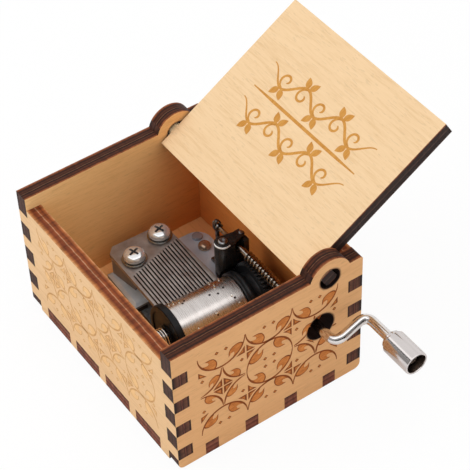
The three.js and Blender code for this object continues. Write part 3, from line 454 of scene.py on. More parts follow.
# %% Ground comb steel and cast zinc
def comb_steel():
    m = Finish("Ground_Comb_Steel", roughness=0.42, metallic=0.55)
    lines = m.noise(m.mapped((70, 1400, 70), turn=(0, 0, SKEW)))
    tone = m.ramp(m.grain(300, 4), shades((0.3, 138, 124, 118), (0.55, 158, 147, 141), (0.8, 174, 163, 157)))
    # the walls of the milled slots between the teeth face along the drum, and are painted near black: painted
    # shade in the slots
    drum_way = (math.sin(SKEW), math.cos(SKEW), 0)
    facing = m.vector("DOT_PRODUCT", m.normal, drum_way)
    along = m.vector("DOT_PRODUCT", m.place, drum_way)
    wall = (abs(facing) > 0.6) * (abs(along + 0.0006) < 0.0083)
    return m.finish(Base_Color=m.mix(wall, tone, (0.008, 0.008, 0.009)), Roughness=lines * 0.16 + 0.36,
                    Normal=m.bump(lines, 0.12, 0.00003))


def cast_zinc():
    m = Finish("Cast_Zinc", roughness=0.42, metallic=0.25)
    skin = m.grain(1100, 4, 0.65)
    broad = m.grain(180, 3, 0.5)
    tone = m.ramp(broad, shades((0.3, 186, 198, 212), (0.6, 214, 224, 235), (0.85, 232, 239, 245)))
    # upright faces are painted darker and browner than the flat ones: painted shade
    upright = abs(m.part(m.normal, 2)) < 0.4
    tone = m.mix(upright * 0.75, tone, srgb(76, 66, 62))
    # the low part under the drum is painted dark: painted shadow of the drum
    painted_drum_shadow = (m.part(m.place, 0) > -9.0 * MM) * (m.part(m.place, 2) < 6.6 * MM)
    tone = m.mix(painted_drum_shadow * (skin * 0.3 + 0.75), tone, srgb(40, 35, 33))
    return m.finish(Base_Color=tone, Roughness=skin * 0.2 + 0.34, Normal=m.bump(skin, 0.3, 0.00006))


comb_finish = comb_steel()
zinc_finish = cast_zinc()
print("materials:", len(bpy.data.materials))

# %% [markdown]
# ## Small helpers for pieces
# The same handwork comes back for every piece: it alone is selected, a modifier is applied, the
# sharp edges are rounded, and the finished mesh is put in its place. An operator acts on all that
# is selected, so each helper first selects just what it needs.

# %% Select, apply, smooth and round
EDGE_ANGLE = 32                         # degrees from which an edge counts as sharp


def select_only(*objects):
    """Selects these objects and no other. The first one becomes the active one."""
    if bpy.context.mode != "OBJECT":
        bpy.ops.object.mode_set(mode="OBJECT")
    bpy.ops.object.select_all(action="DESELECT")
    for obj in objects:
        obj.select_set(True)
    if objects:
        bpy.context.view_layer.objects.active = objects[0]


def edit_all(obj):
    """Opens a piece in edit mode with everything on it selected."""
    select_only(obj)
    bpy.ops.object.mode_set(mode="EDIT")
    bpy.ops.mesh.select_mode(type="VERT")
    bpy.ops.mesh.select_all(action="SELECT")


def face_outwards():
    """Turns all faces of the mesh in edit mode outwards, and leaves edit mode."""
    bpy.ops.mesh.select_all(action="SELECT")
    bpy.ops.mesh.normals_make_consistent(inside=False)
    bpy.ops.object.mode_set(mode="OBJECT")


def pick_vertices(obj, wanted):
    """Selects in edit mode the vertices that a test on their place and number allows."""
    bpy.ops.object.mode_set(mode="OBJECT")
    mesh = obj.data
    mesh.edges.foreach_set("select", [False] * len(mesh.edges))
    mesh.polygons.foreach_set("select", [False] * len(mesh.polygons))
    for vertex in mesh.vertices:
        vertex.select = wanted(vertex)
    bpy.ops.object.mode_set(mode="EDIT")
    bpy.ops.mesh.select_mode(type="VERT")


def apply_modifier(obj, kind, **settings):
    modifier = obj.modifiers.new("Step", kind)
    for key, value in settings.items():
        setattr(modifier, key, value)
    select_only(obj)
    bpy.ops.object.modifier_apply(modifier=modifier.name)


def smooth(obj, angle=EDGE_ANGLE):
    select_only(obj)
    bpy.ops.object.shade_smooth_by_angle(angle=math.radians(angle))


def rounded(obj, width, segments=2, angle=EDGE_ANGLE):
    """Rounds the sharp edges with a bevel, so that they catch the light."""
    apply_modifier(obj, "BEVEL", width=width * MM, segments=segments, limit_method="ANGLE",
                   angle_limit=math.radians(angle))
    smooth(obj)


print("edges are sharp from", EDGE_ANGLE, "degrees")

# %% Copy, join, place and dress
def copied(model, name):
    """A copy with a mesh of its own."""
    copy = model.copy()
    copy.data = model.data.copy()
    copy.name = name
    bpy.context.scene.collection.objects.link(copy)
    return copy


def joined(objects, name):
    select_only(*objects)
    bpy.ops.object.join()
    obj = bpy.context.object
    obj.name = name
    return obj


def put(obj, matrix):
    """Moves the mesh to its place and leaves the object at the origin."""
    obj.data.transform(matrix)
    obj.data.update()


def shifted(x, y=0, z=0):
    """A move in millimetres."""
    return Matrix.Translation(Vector((x, y, z)) * MM)


def add_piece(obj, material, body, slot, *nodes):
    """Gives a finished piece its material and its body, and hides the nodes it stands for. The slot is not
    used.
    """
    obj.data.materials.clear()
    obj.data.materials.append(material)
    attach(obj, body)
    if nodes:
        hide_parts(*nodes)
    return obj


# the movement stands turned on the floor, and the comb lies in its own slightly tilted plane
MOVE_X, DRUM_Z = 7.6, 12.8904
TIP_X, TIP_Z, COMB_TILT = -7.597, 14.15, math.radians(0.7)
movement = shifted(MOVE_X) @ Matrix.Rotation(-SKEW, 4, "Z")
axis = movement @ shifted(0, 0, DRUM_Z)
to_y = Matrix.Rotation(-math.pi / 2, 4, "X")       # local Z to Y
to_x = Matrix.Rotation(math.pi / 2, 4, "Y")        # local Z to X
comb_plane = movement @ shifted(TIP_X, 0, TIP_Z) @ Matrix.Rotation(-COMB_TILT, 4, "Y")
print("the drum's axis starts at", [round(v / MM, 2) for v in axis.translation])

# %% [markdown]
# ## Turned pieces
# Screws, washers, the drum and the knob are all round. By hand such a piece starts as a circle,
# which is then extruded and scaled step by step along its axis, and closed at both ends. A spin of
# the outline would do it too, but it leaves a seam to mend.
# The profile is a list of radius and height pairs, in millimetres.

# %% A helper that turns a profile
def turned(name, profile, steps, ring=False):
    """A profile that starts or ends on the axis closes there in a point, a ring closes on itself."""
    select_only()
    points = [(r * MM, z * MM) for r, z in profile]
    body = [point for point in points if point[0] > 0]
    r, z = body[0]
    bpy.ops.mesh.primitive_circle_add(vertices=steps, radius=r, location=(0, 0, z))
    obj = bpy.context.object
    obj.name = name
    bpy.ops.object.transform_apply(location=True)
    edit_all(obj)
    for r1, z1 in body[1:]:
        bpy.ops.mesh.extrude_region_move(TRANSFORM_OT_translate={"value": (0, 0, z1 - z)})
        bpy.ops.transform.resize(value=(r1 / r, r1 / r, 1), center_override=(0, 0, z1))
        r, z = r1, z1
    total = steps * len(body)
    first, last = range(steps), range(total - steps, total)
    if ring:
        pick_vertices(obj, lambda v: v.index in first or v.index in last)
        bpy.ops.mesh.bridge_edge_loops()
    else:
        for rim, level, (tip_r, tip_z) in ((last, z, points[-1]), (first, body[0][1], points[0])):
            pick_vertices(obj, lambda v: v.index in rim)
            if tip_r == 0:
                bpy.ops.mesh.extrude_region_move(TRANSFORM_OT_translate={"value": (0, 0, tip_z - level)})
                bpy.ops.mesh.merge(type="CENTER")
            else:
                bpy.ops.mesh.edge_face_add()
    face_outwards()
    return obj


sample = turned("Sample", [(0, 0), (1, 0), (1, 1), (0, 1)], 12)
print("a turned disc with 12 sides has", len(sample.data.polygons), "faces")
bpy.data.objects.remove(sample)

# %% [markdown]
# ## Comb screws and washers
# Two bright cross-head screws hold the comb, each on a plain washer. The head is a low drum with
# a domed top. The cross could be a dark picture on the head, but a real one has walls that catch
# the light, so it is cut with a Boolean by a tapered cutter, as a punch would press it. Its walls
# are painted dark in the finish as well: painted shade.

# %% Press a cross into a head
CROSS = (4.6, 0.86, 2.2)                # length, width and twice the depth of an arm
CROSS_TAPER = (0.28, 0.42, 1)


def press_cross(screw, top):
    """Cuts a tapered cross into the head, and marks its walls in a face attribute."""
    select_only()
    bpy.ops.mesh.primitive_cube_add(size=1, location=(0, 0, top * MM))
    cutter = bpy.context.object
    cutter.scale = Vector(CROSS) * MM
    bpy.ops.object.transform_apply(location=True, rotation=False, scale=True)
    # the lower face of the cutter is drawn in, so the recess tapers
    pick_vertices(cutter, lambda vertex: vertex.co.z < top * MM)
    bpy.ops.transform.resize(value=CROSS_TAPER, center_override=(0, 0, 0))
    bpy.ops.object.mode_set(mode="OBJECT")
    for angle in (20, 110):
        arm = copied(cutter, "Arm")
        put(arm, Matrix.Rotation(math.radians(angle), 4, "Z"))
        apply_modifier(screw, "BOOLEAN", object=arm, operation="DIFFERENCE", solver="EXACT")
        bpy.data.objects.remove(arm)
    bpy.data.objects.remove(cutter)
    recess = screw.data.attributes.new("recess", "FLOAT", "FACE")
    for face, mark in zip(screw.data.polygons, recess.data):
        near_axis = math.hypot(face.center.x, face.center.y) < 2.1 * MM and face.center.z > (top - 1.3) * MM
        low_or_steep = face.normal.z < 0.78 or face.center.z < (top - 0.8) * MM
        mark.value = 1.0 if near_axis and low_or_steep else 0.0


print("arms of the cross:", CROSS[0], "by", CROSS[1], "mm")

# %% Turn the screws and washers
HEAD_R, HEAD_FROM, HEAD_HIGH = 2.65, 0.95, 1.9
HEAD_TO, DOME_FROM, DOME_HIGH = HEAD_FROM + HEAD_HIGH, HEAD_FROM + HEAD_HIGH * 0.42, HEAD_HIGH * 0.58
screw_profile = [(0, -5.35), (1.3, -5.35), (1.3, HEAD_FROM), (HEAD_R - 0.12, HEAD_FROM),
                 (HEAD_R, HEAD_FROM + 0.12), (HEAD_R, DOME_FROM)]
for degrees in (12, 24, 36, 48, 60, 72, 82):
    a = math.radians(degrees)
    screw_profile.append((HEAD_R * math.cos(a) ** 0.6, DOME_FROM + DOME_HIGH * math.sin(a) ** 1.1))
screw_profile.append((0, HEAD_TO))
washer_profile = [(1.5, 0.2), (3.0, 0.2), (3.1, 0.3), (3.1, 0.62), (2.98, 0.75), (1.5, 0.75)]

for k, (u, v) in enumerate([(-16.699, -5.74), (-19.961, 3.23)], 1):
    screw = turned(f"Cross_Head_Screw_{k}", screw_profile, 72)
    press_cross(screw, HEAD_TO)
    smooth(screw, 35)
    washer = turned(f"Plain_Washer_{k}", washer_profile, 72, True)
    smooth(washer)
    for piece in (screw, washer):
        put(piece, comb_plane @ shifted(u, v))
    add_piece(screw, screw_plate, "case", "nickel_plate", f"Comb_Screw_{k}")
    add_piece(washer, washer_steel, "case", "nickel_plate", f"Comb_Washer_{k}")
    print(screw.name, len(screw.data.polygons), "faces")

# %% [markdown]
# ## Softened edges
# Cast and cut pieces never have perfectly sharp edges: a thin light line runs along them. These
# pieces keep the CAD shape. They could be modelled again, but a copy is exact: it is merged, its
# flat triangles are dissolved into faces, and a small bevel rounds what is sharp.

# %% Copy the cut and cast pieces with rounded edges
SHARP = 30                              # degrees from which an edge is rounded


def softened(node_name, name, width):
    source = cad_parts[node_name]
    piece = copied(source, name)
    matrix = source.matrix_world.copy()
    piece.parent = None
    piece.matrix_world = matrix
    select_only(piece)
    bpy.ops.object.transform_apply(location=True, rotation=True, scale=True)
    edit_all(piece)
    bpy.ops.mesh.remove_doubles(threshold=1e-6)
    bpy.ops.mesh.dissolve_limited(angle_limit=math.radians(1))
    bpy.ops.object.mode_set(mode="OBJECT")
    rounded(piece, width, 2, SHARP)
    smooth(piece, SHARP)
    return piece


for node_name, name, width, material, body, slot in [
        ("Comb", "Steel_Comb", 0.05, comb_finish, "case", "comb_steel"),
        ("Bedplate", "Cast_Base", 0.12, zinc_finish, "case", "zinc_cast"),
        ("Worm_Wheel", "Toothed_Wheel", 0.05, wheel_black, "cylinder", "black_plastic"),
        ("Shaft_Bracket", "Bracket_Column", 0.3, bracket_black, "case", "black_plastic"),
        ("Shaft_End_Bearing", "End_Upright", 0.1, upright_steel, "case", "black_steel"),
        ("Shaft_Clip", "Spring_Clip", 0.05, dull_nickel, "crank", "nickel_plate")]:
    piece = add_piece(softened(node_name, name, width), material, body, slot, node_name)
    print(name, len(piece.data.polygons), "faces")

# %% Slim the upright and its clip, and dress what stays as it is
SHAFT_Y, SHAFT_Z = 13.6, 21.7
SLIM = 0.62                             # of the CAD's plain forms
for name, slim in (("End_Upright", (1, SLIM, 1)), ("Spring_Clip", (1, SLIM, SLIM))):
    edit_all(bpy.data.objects[name])
    bpy.ops.transform.resize(value=slim, center_override=(0, SHAFT_Y * MM, SHAFT_Z * MM))
    bpy.ops.object.mode_set(mode="OBJECT")
dress(dull_nickel, "Mount_Screw_1", "Mount_Screw_2")
dress(bright_nickel, "Cylinder_Arbor")
print("slimmed to", SLIM)

# %% [markdown]
# ## The pinned drum
# The drum is a turned steel tube. Turning leaves fine rings round it, which smear the highlight
# along the axis, so the noise is stretched round the drum: very fine along the axis, slow around.
# Small pins stand out of it, and the light catches their tips. A few empty holes show dark. Each
# pin could be a bump in the material, but real pins also show on the drum's outline. One pin and
# one hole are modelled, and copied to all their places.

# %% Turn the drum
DRUM_R, DRUM_FROM, DRUM_TO = 6.75, -9.69, 7.71
BORE_R = 1.1


def drum_finish():
    m = Finish("Turned_Drum_Steel", roughness=0.26, metallic=1.0)
    centre = Matrix.Rotation(SKEW, 3, "Z") @ Vector((MOVE_X, 0, DRUM_Z)) * MM
    local = m.mapped(turn=(0, 0, SKEW), shift=-centre)
    x, along, z = (m.part(local, k) for k in range(3))
    around = x.worked("ARCTAN2", z, x)
    lines = m.noise(m.combined(along * 4200.0, around * 1.7), 4, 0.65)
    bands = m.noise(m.combined(along * 800.0, around * 1.2))
    tones = shades((0.3, 184, 176, 171), (0.5, 205, 198, 194), (0.7, 219, 213, 209))
    return m.finish(Base_Color=m.ramp(lines * 0.6 + bands * 0.4, tones), Roughness=lines * 0.3 + 0.13,
                    Normal=m.bump(lines + bands * 0.1, 0.2, 0.00004))


drum = turned("Pinned_Drum", [
    (BORE_R, DRUM_FROM), (DRUM_R - 0.2, DRUM_FROM), (DRUM_R, DRUM_FROM + 0.2), (DRUM_R, DRUM_TO - 0.25),
    (DRUM_R - 0.25, DRUM_TO), (BORE_R, DRUM_TO)], 160, True)
smooth(drum, 20)
put(drum, axis @ to_y)
add_piece(drum, drum_finish(), "cylinder", "drum_steel", "Cylinder_Drum")
print("drum:", round(DRUM_TO - DRUM_FROM, 2), "mm long")

# %% Set the pins and sink the empty holes
# each empty hole is a thin dark disc on the drum: painted shade of the hole
def painted_hole_shade_finish():
    m = Finish("Hole_Shadow", roughness=0.7)
    return m.finish(Base_Color=m.ramp(m.grain(3000, 2, 0.5), shades((0.3, 22, 15, 13), (0.8, 46, 33, 27))))


def on_drum(name, profile, steps, places):
    """Turns a small piece and copies it to places along the axis, in mm, and round it, in degrees."""
    model = turned("Model", profile, steps)
    smooth(model, 50)
    copies = []
    for along, angle in places:
        copies.append(copied(model, name))
        out = Matrix.Rotation(math.radians(90 - angle), 4, "Y") @ shifted(0, 0, DRUM_R)
        put(copies[-1], axis @ shifted(0, along) @ out)
    bpy.data.objects.remove(model)
    print(name, len(copies))
    return joined(copies, name)


# the side that shows comes first; the rest stand in rows, and leap round by the golden angle
ROWS, ROW_GAP, GOLDEN = 18, 0.908, 137.508
pin_places = [(-8.57, 120.6), (-7.55, 117.5), (-6.29, 112.2), (2.85, 128.2), (3.18, 112.0), (2.70, 101.6),
              (5.22, 124.1), (4.80, 67.2), (5.77, 47.6), (-0.44, 48.2), (-5.91, 37.2)]
pin_places += [(-8.9 + ROW_GAP * (k % ROWS), 195 + (GOLDEN * k) % 190) for k in range(80)]
hole_places = [(-5.28, 106.5), (-6.03, 101.4), (0.43, 89.9), (2.31, 84.2), (4.25, 92.0), (5.25, 60.9),
               (-0.31, 45.8)]
pins = on_drum("Drum_Pins", [(0, -0.3), (0.25, -0.3), (0.25, 0.28), (0.2, 0.42), (0, 0.45)], 10, pin_places)
add_piece(pins, nickel("Pin_Steel", (0.9, 0.86, 0.78), 0.2), "cylinder", "drum_steel")
holes = on_drum("Drum_Holes", [(0, 0.012), (0.15, 0.014), (0.25, 0.02), (0.3, 0.008), (0.3, -0.1),
                               (0, -0.12)], 14, hole_places)
add_piece(holes, painted_hole_shade_finish(), "cylinder", "drum_steel")

# %% [markdown]
# ## End cap, spring and arbor
# A black plastic flange closes the drum's front end, with a hollow face and a hub. Between it and
# the front bearing sits a small coil spring. A coil could be drawn as a curve, but it is just one
# section swept round an axis while it climbs, which is what the Screw modifier does.

# %% Turn the cap
CAP_R, CAP_THICK, CAP_GAP = 7.6, 1.7, 0.1
cap_to = DRUM_FROM - CAP_GAP
cap_from = cap_to - CAP_THICK
cap = turned("Drum_Flange", [
    (BORE_R, cap_from - 0.2), (2.8, cap_from - 0.2), (2.9, cap_from - 0.1), (2.9, cap_from + 0.3),
    (6.2, cap_from + 0.3), (6.5, cap_from), (7.3, cap_from), (7.52, cap_from + 0.12),
    (CAP_R, cap_from + 0.35), (CAP_R, cap_to - 0.12), (7.5, cap_to), (BORE_R, cap_to)], 128, True)
smooth(cap, 25)
put(cap, axis @ to_y)
add_piece(cap, cap_black, "cylinder", "black_plastic", "Cylinder_End_Cap")
print("cap faces:", len(cap.data.polygons))

# %% Wind the spring
def wound(name, section, pitch, turns, steps):
    """Sweeps a closed section of radius and height pairs round the axis while it climbs."""
    select_only()
    bpy.ops.mesh.primitive_circle_add(vertices=len(section), radius=1)
    obj = bpy.context.object
    obj.name = name
    for vertex, (r, z) in zip(obj.data.vertices, section):
        vertex.co = (r * MM, 0, z * MM)
    apply_modifier(obj, "SCREW", axis="Z", angle=2 * math.pi, iterations=turns, screw_offset=pitch * MM,
                   steps=steps, render_steps=steps)
    edit_all(obj)
    bpy.ops.mesh.remove_doubles(threshold=1e-7)
    bpy.ops.mesh.select_all(action="DESELECT")
    bpy.ops.mesh.select_non_manifold()
    bpy.ops.mesh.fill_holes(sides=len(section))
    face_outwards()
    return obj


COIL_R, WIRE_R, COILS, COIL_PITCH = 2.3, 0.27, 6, 0.655
coil_from = -17.9 + 1.5 + 0.2 + 0.25    # the bearing's outer face, its thickness, a gap and the wire's half
wire_angles = [math.radians(30 * k) for k in range(12)]
wire = [(COIL_R + WIRE_R * math.cos(a), WIRE_R * math.sin(a)) for a in wire_angles]
spring = wound("Coil_Spring", wire, COIL_PITCH, COILS, 40)
smooth(spring, 60)
put(spring, axis @ shifted(0, coil_from) @ to_y)
add_piece(spring, bright_nickel, "case", "nickel_plate", "Arbor_Spring")
print("spring faces:", len(spring.data.polygons))

# %% [markdown]
# ## Small fittings
# A rivet and a tack hold the bracket's cover, and a pin and a bronze stud stand on the deck. Their
# heads are too small for details of their own, so all four are turned from short profiles: a
# straight shank up to the seat, and then the head's outline.

# %% Turn the rivet, tack, pin and stud
on_bracket = (Matrix.Identity(4), 20.9, 24.0)       # the frame it stands in, its lower end, its seat
on_deck = (movement, 6, 8.05)
for name, (base, bottom, seat), x, y, shank, head, material, slot, node_name in [
        ("Hollow_Rivet", on_bracket, -1, 10.3, 0.7,
         [(1.1, 0), (1.15, 0.06), (1.15, 0.28), (1.0, 0.48), (0.8, 0.55), (0.55, 0.5), (0.42, 0.35),
          (0.42, 0.05), (0, 0.03)], dull_nickel, "nickel_plate", "Bracket_Rivet"),
        ("Round_Tack", on_bracket, -1, 15.55, 0.3,
         [(0.6, 0), (0.58, 0.12), (0.42, 0.22), (0, 0.27)], dull_nickel, "nickel_plate", "Bracket_Tack"),
        ("Deck_Pin_Head", on_deck, -27.3, 13.4, 0.8,
         [(1.3, 0), (1.35, 0.08), (1.35, 0.5), (1.22, 0.7), (0.9, 0.78), (0, 0.8)],
         pin_plate, "nickel_plate", "Deck_Pin"),
        ("Turned_Stud", on_deck, -23.5, 13.15, 0.8,
         [(1.5, 0), (1.6, 0.1), (1.6, 0.55), (1.5, 0.85), (1.25, 1.15), (0.8, 1.4), (0.35, 1.49), (0, 1.5)],
         stud_bronze, "bronze_stud", "Deck_Stud")]:
    profile = [(0, bottom), (shank, bottom), (shank, seat)] + [(r, seat + high) for r, high in head]
    piece = turned(name, profile, 48)
    smooth(piece, 34)
    put(piece, base @ shifted(x, y))
    add_piece(piece, material, "case", slot, node_name)
    print(name, len(piece.data.polygons), "faces")

# %% [markdown]
# ## The bracket's cover
# A small black plate lies on the bracket: round at the rivet's end, narrow at the tack's. It
# starts as a disc whose far half is drawn out and made smaller, which keeps both ends truly
# round. A bright line is painted along one side of the round end's edge: a painted highlight.

# %% Draw the cover out of a disc
COVER_R, COVER_END_R, COVER_TO, COVER_THICK = 2.1, 1.15, 16.3, 0.8
RIVET = Vector((-1, 10.3, 23.15))
HIGHLIGHT_SIDE = (0.7, -0.71, 0)


def black_cover_with_painted_highlight():
    m = Finish("Black_Cover_Painted_Highlight", roughness=0.2)
    grain = m.grain(900)
    flat = m.off_axis(RIVET * MM, (1, 1, 0))
    far = m.vector("LENGTH", flat)
    # the pale, slightly metallic line on one side of the round edge is a painted highlight
    highlight_side_half = m.vector("DOT_PRODUCT", flat, HIGHLIGHT_SIDE) > COVER_R * 0.35 * MM
    painted_rim_highlight = (far + (grain - 0.5) * 0.0002 > (COVER_R - 0.17) * MM) * highlight_side_half
    painted_rim_highlight = painted_rim_highlight * (m.part(m.place, 2) > (RIVET.z + 0.45) * MM)
    black = m.ramp(grain, [(0.3, (0.012, 0.009, 0.008)), (0.8, (0.03, 0.022, 0.019))])
    return m.finish(Base_Color=m.mix(painted_rim_highlight, black, (0.86, 0.85, 0.83)), Metallic=painted_rim_highlight * 0.25,
                    Roughness=grain * 0.1 + 0.16, Normal=m.bump(grain, 0.1, 0.00003))


select_only()
bpy.ops.mesh.primitive_circle_add(vertices=72, radius=COVER_R * MM, fill_type="NGON", location=RIVET * MM)
cover = bpy.context.object
cover.name = "Bracket_Cover"
bpy.ops.object.transform_apply(location=True)
pick_vertices(cover, lambda vertex: vertex.co.y > (RIVET.y + 0.01) * MM)
bpy.ops.transform.resize(value=(COVER_END_R / COVER_R,) * 2 + (1,), center_override=RIVET * MM)
bpy.ops.transform.translate(value=(0, (COVER_TO - COVER_END_R - RIVET.y) * MM, 0))
bpy.ops.mesh.select_all(action="SELECT")
bpy.ops.mesh.extrude_region_move(TRANSFORM_OT_translate={"value": (0, 0, COVER_THICK * MM)})
face_outwards()
rounded(cover, 0.16, 3, 50)
add_piece(cover, black_cover_with_painted_highlight(), "case", "black_steel", "Bracket_Plate")
print("cover faces:", len(cover.data.polygons))

# %% [markdown]
# ## The crank
# The crank is one plated rod: a thin inner end, the worm that drives the wheel, two bends, and
# the pin that carries the knob. The bends could be extruded ring by ring, but a curve with a round
# bevel keeps the rod's section even. The worm's ridge is a small trapezium, wound like the spring.

# %% Lines and bends
def poly_line(name, points, closed=False, **settings):
    """A curve of straight pieces through points in millimetres."""
    data = bpy.data.curves.new(name, "CURVE")
    for key, value in settings.items():
        setattr(data, key, value)
    spline = data.splines.new("POLY")
    spline.points.add(len(points) - 1)
    for point, place in zip(spline.points, points):
        point.co = [c * MM for c in place] + [0] * (3 - len(place)) + [1]
    spline.use_cyclic_u = closed
    obj = bpy.data.objects.new(name, data)
    bpy.context.scene.collection.objects.link(obj)
    return obj


def as_meshes(curves):
    select_only(*curves)
    bpy.ops.object.convert(target="MESH")
    return bpy.context.selected_objects


def bend(before, corner, after, reach, count=16):
    """Points of a smooth bend that starts and ends at reach from the corner."""
    corner = Vector(corner)
    start = corner + (Vector(before) - corner).normalized() * reach
    end = corner + (Vector(after) - corner).normalized() * reach
    shares = [k / count for k in range(count + 1)]
    return [start * (1 - t) ** 2 + corner * 2 * t * (1 - t) + end * t * t for t in shares]


print("a bend has", len(bend((1, 0, 0), (0, 0, 0), (0, 1, 0), 1)), "points")

# %% Bend the rod, wind the worm and join them
WORM_FROM, WORM_TURNS, PITCH = 4.1, 12, 1.1
WORM_TO = WORM_FROM + WORM_TURNS * PITCH
ROD, JOURNAL, TAIL, WORM_ROOT = 1.2, 0.78, 0.58, 0.72       # radii along the shaft
ARM_X, ARM_LEAN, ARM_LONG, BEND = 37.8, 2.4, 10.6, 2.8
KNOB_FROM, KNOB_LONG = 44, 9.3

inner, outer = (WORM_TO - 0.3, 0, 0), (KNOB_FROM + KNOB_LONG - 1.6, ARM_LONG, 0)
low, high = (ARM_X, 0, 0), (ARM_X - ARM_LEAN, ARM_LONG, 0)
way = [inner] + bend(inner, low, high, BEND) + bend(low, high, outer, BEND) + [outer]
rod = as_meshes([poly_line("Rod", way, dimensions="3D", bevel_depth=ROD * MM, bevel_resolution=8,
                           use_fill_caps=True)])[0]
core = turned("Core", [
    (0, -9.6), (TAIL - 0.15, -9.6), (TAIL, -9.45), (TAIL, -3.3), (JOURNAL, -3.0), (JOURNAL, WORM_FROM - 0.2),
    (WORM_ROOT, WORM_FROM), (WORM_ROOT, WORM_TO), (1.05, WORM_TO + 0.35), (0, WORM_TO + 0.35)], 48)
put(core, to_x)
ridge = wound("Ridge", [(0.5, -0.36), (1.28, -0.16), (1.28, 0.16), (0.5, 0.36)], PITCH, WORM_TURNS - 1, 36)
put(ridge, shifted(WORM_FROM) @ to_x)
rod = joined([rod, core, ridge], "Plated_Crank_Rod")
smooth(rod, 40)
put(rod, shifted(0, SHAFT_Y, SHAFT_Z))
# the rod inside the box, below X 28 mm, is painted darker, a painted shade, and rougher
rod_nickel = nickel("Crank_Rod_Nickel", (0.76, 0.72, 0.70), 0.14, painted_shade_before=28 * MM)
add_piece(rod, rod_nickel, "crank", "nickel_plate", "Crank_Shaft")
print("crank faces:", len(rod.data.polygons))

# %% [markdown]
# ## The knob
# The knob is a plated tube with a small shoulder and an open outer end, where the retaining ring
# shows. It could be a cylinder with a bevel, but its neck and its rounded rim want a profile of
# their own: the rim is what draws the bright ring round the opening.

# %% Turn the knob and its ring
NECK_R, SHOULDER_R, KNOB_R, HOLLOW_R, HOLLOW_DEEP = 2.4, 2.6, 3.0, 2.45, 3.2


def knob_finish():
    """Satin nickel outside, and a rougher hollow painted dark: painted shade."""
    m = Finish("Satin_Knob_Nickel", roughness=0.2, metallic=1.0)
    brushed = m.noise(m.mapped((60, 900, 900)))
    flat = m.off_axis((0, (SHAFT_Y + ARM_LONG) * MM, SHAFT_Z * MM), (0, 1, 1))
    hollow = m.vector("LENGTH", flat) < (HOLLOW_R + 0.025) * MM
    hollow = hollow * (m.part(m.place, 0) > (KNOB_FROM + 2) * MM)
    tone = m.ramp(brushed, [(0.3, (0.61, 0.565, 0.55)), (0.7, (0.68, 0.635, 0.62))])
    # the hollow's darker colour is painted shade
    return m.finish(Base_Color=m.mix(hollow, tone, srgb(128, 112, 100)),
                    Roughness=brushed * 0.05 + 0.13 + hollow * 0.2, Normal=m.bump(brushed, 0.02, 0.00002))


handle = shifted(0, SHAFT_Y + ARM_LONG, SHAFT_Z) @ to_x
end = KNOB_FROM + KNOB_LONG
knob = turned("Plated_Knob", [
    (1.45, KNOB_FROM), (2.2, KNOB_FROM), (NECK_R, KNOB_FROM + 0.2), (NECK_R, KNOB_FROM + 0.75),
    (SHOULDER_R, KNOB_FROM + 0.9), (2.85, KNOB_FROM + 1.0), (KNOB_R, KNOB_FROM + 1.25), (KNOB_R, end - 0.3),
    (2.93, end - 0.1), (2.75, end), (2.55, end - 0.08), (2.47, end - 0.3), (HOLLOW_R, end - HOLLOW_DEEP),
    (1.45, end - HOLLOW_DEEP)], 128, True)
to = end - 1.9
ring = turned("Retaining_Ring", [(1.27, to - 0.8), (1.65, to - 0.8), (1.75, to - 0.7), (1.75, to - 0.1),
                                 (1.65, to), (1.27, to)], 48, True)
for piece in (knob, ring):
    smooth(piece, 30)
    put(piece, handle)
add_piece(knob, knob_finish(), "knob", "nickel_plate", "Crank_Knob")
add_piece(ring, upright_steel, "crank", "nickel_plate", "Knob_Retainer")
print("knob faces:", len(knob.data.polygons))

# %% [markdown]
# ## Engraved scrolls
# The walls carry a traditional scroll ornament, burnt in by the laser. It has three rows: half
# rings above and below, and between them full rings in turn with four-pointed stars. Leaves with
# a hooked tip lie along the inside of every ring, and crossed diamonds fill the gaps. It could be
# cut into the walls, but a burn is hardly deep. A flat filled curve suits it well: each shape is a
# closed outline, and the dark outlines and the lighter fillings are thin plates, almost flush
# with the wood.

# %% Draw lines, leaves and spots
LEAF_RING = 6.2                         # the radius of the ring that the leaf was drawn for
CORNERS = ((-1, 1), (1, 1), (1, -1), (-1, -1))


def flowing(points, count=5):
    """A smooth open line through the given points."""
    points = [Vector(p) for p in points]
    points = [points[0] * 2 - points[1]] + points + [points[-1] * 2 - points[-2]]
    result = []
    for p0, p1, p2, p3 in zip(points, points[1:], points[2:], points[3:]):
        for t in (j / count for j in range(count)):
            result.append(0.5 * (2 * p1 + (p2 - p0) * t + (2 * p0 - 5 * p1 + 4 * p2 - p3) * t * t
                                 + (3 * p1 - p0 - 3 * p2 + p3) * t ** 3))
    return result + [points[-2]]


# a leaf along a ring: degrees from its root, and millimetres in from the ring
LEAF = flowing([(0, -0.02), (-3.5, 0.7), (-2.5, 1.7), (6, 2.55), (22, 2.95), (37, 2.5), (47, 1.3)])
LEAF += flowing([(47, 1.3), (37.5, 1.75), (27, 1.4), (29.5, 0.85), (39, 0.2)], 4)[1:]
LEAF += flowing([(39, 0.2), (26, 0.02), (12, -0.02)], 4)[1:]
LEAF_MIDDLE = Vector((21, 1.45))
ROOTS = (-22, -108, 156, 74)


def leaf(x, y, rx, ry, root, size=1.0, grow=1.0):
    """A leaf whose back lies on a ring; grow below 1 draws only its inner part."""
    result = []
    for p in LEAF:
        d = LEAF_MIDDLE + (p - LEAF_MIDDLE) * grow
        a = math.radians(root - d.x * size)
        depth = d.y * size * rx / LEAF_RING
        result.append((x + (rx - depth) * math.cos(a), y + (ry - depth) * math.sin(a)))
    return result


def arc(x, y, rx, ry, a0, a1, count=40):
    angles = [math.radians(a0 + (a1 - a0) * k / count) for k in range(count + 1)]
    return [(x + rx * math.cos(a), y + ry * math.sin(a)) for a in angles]


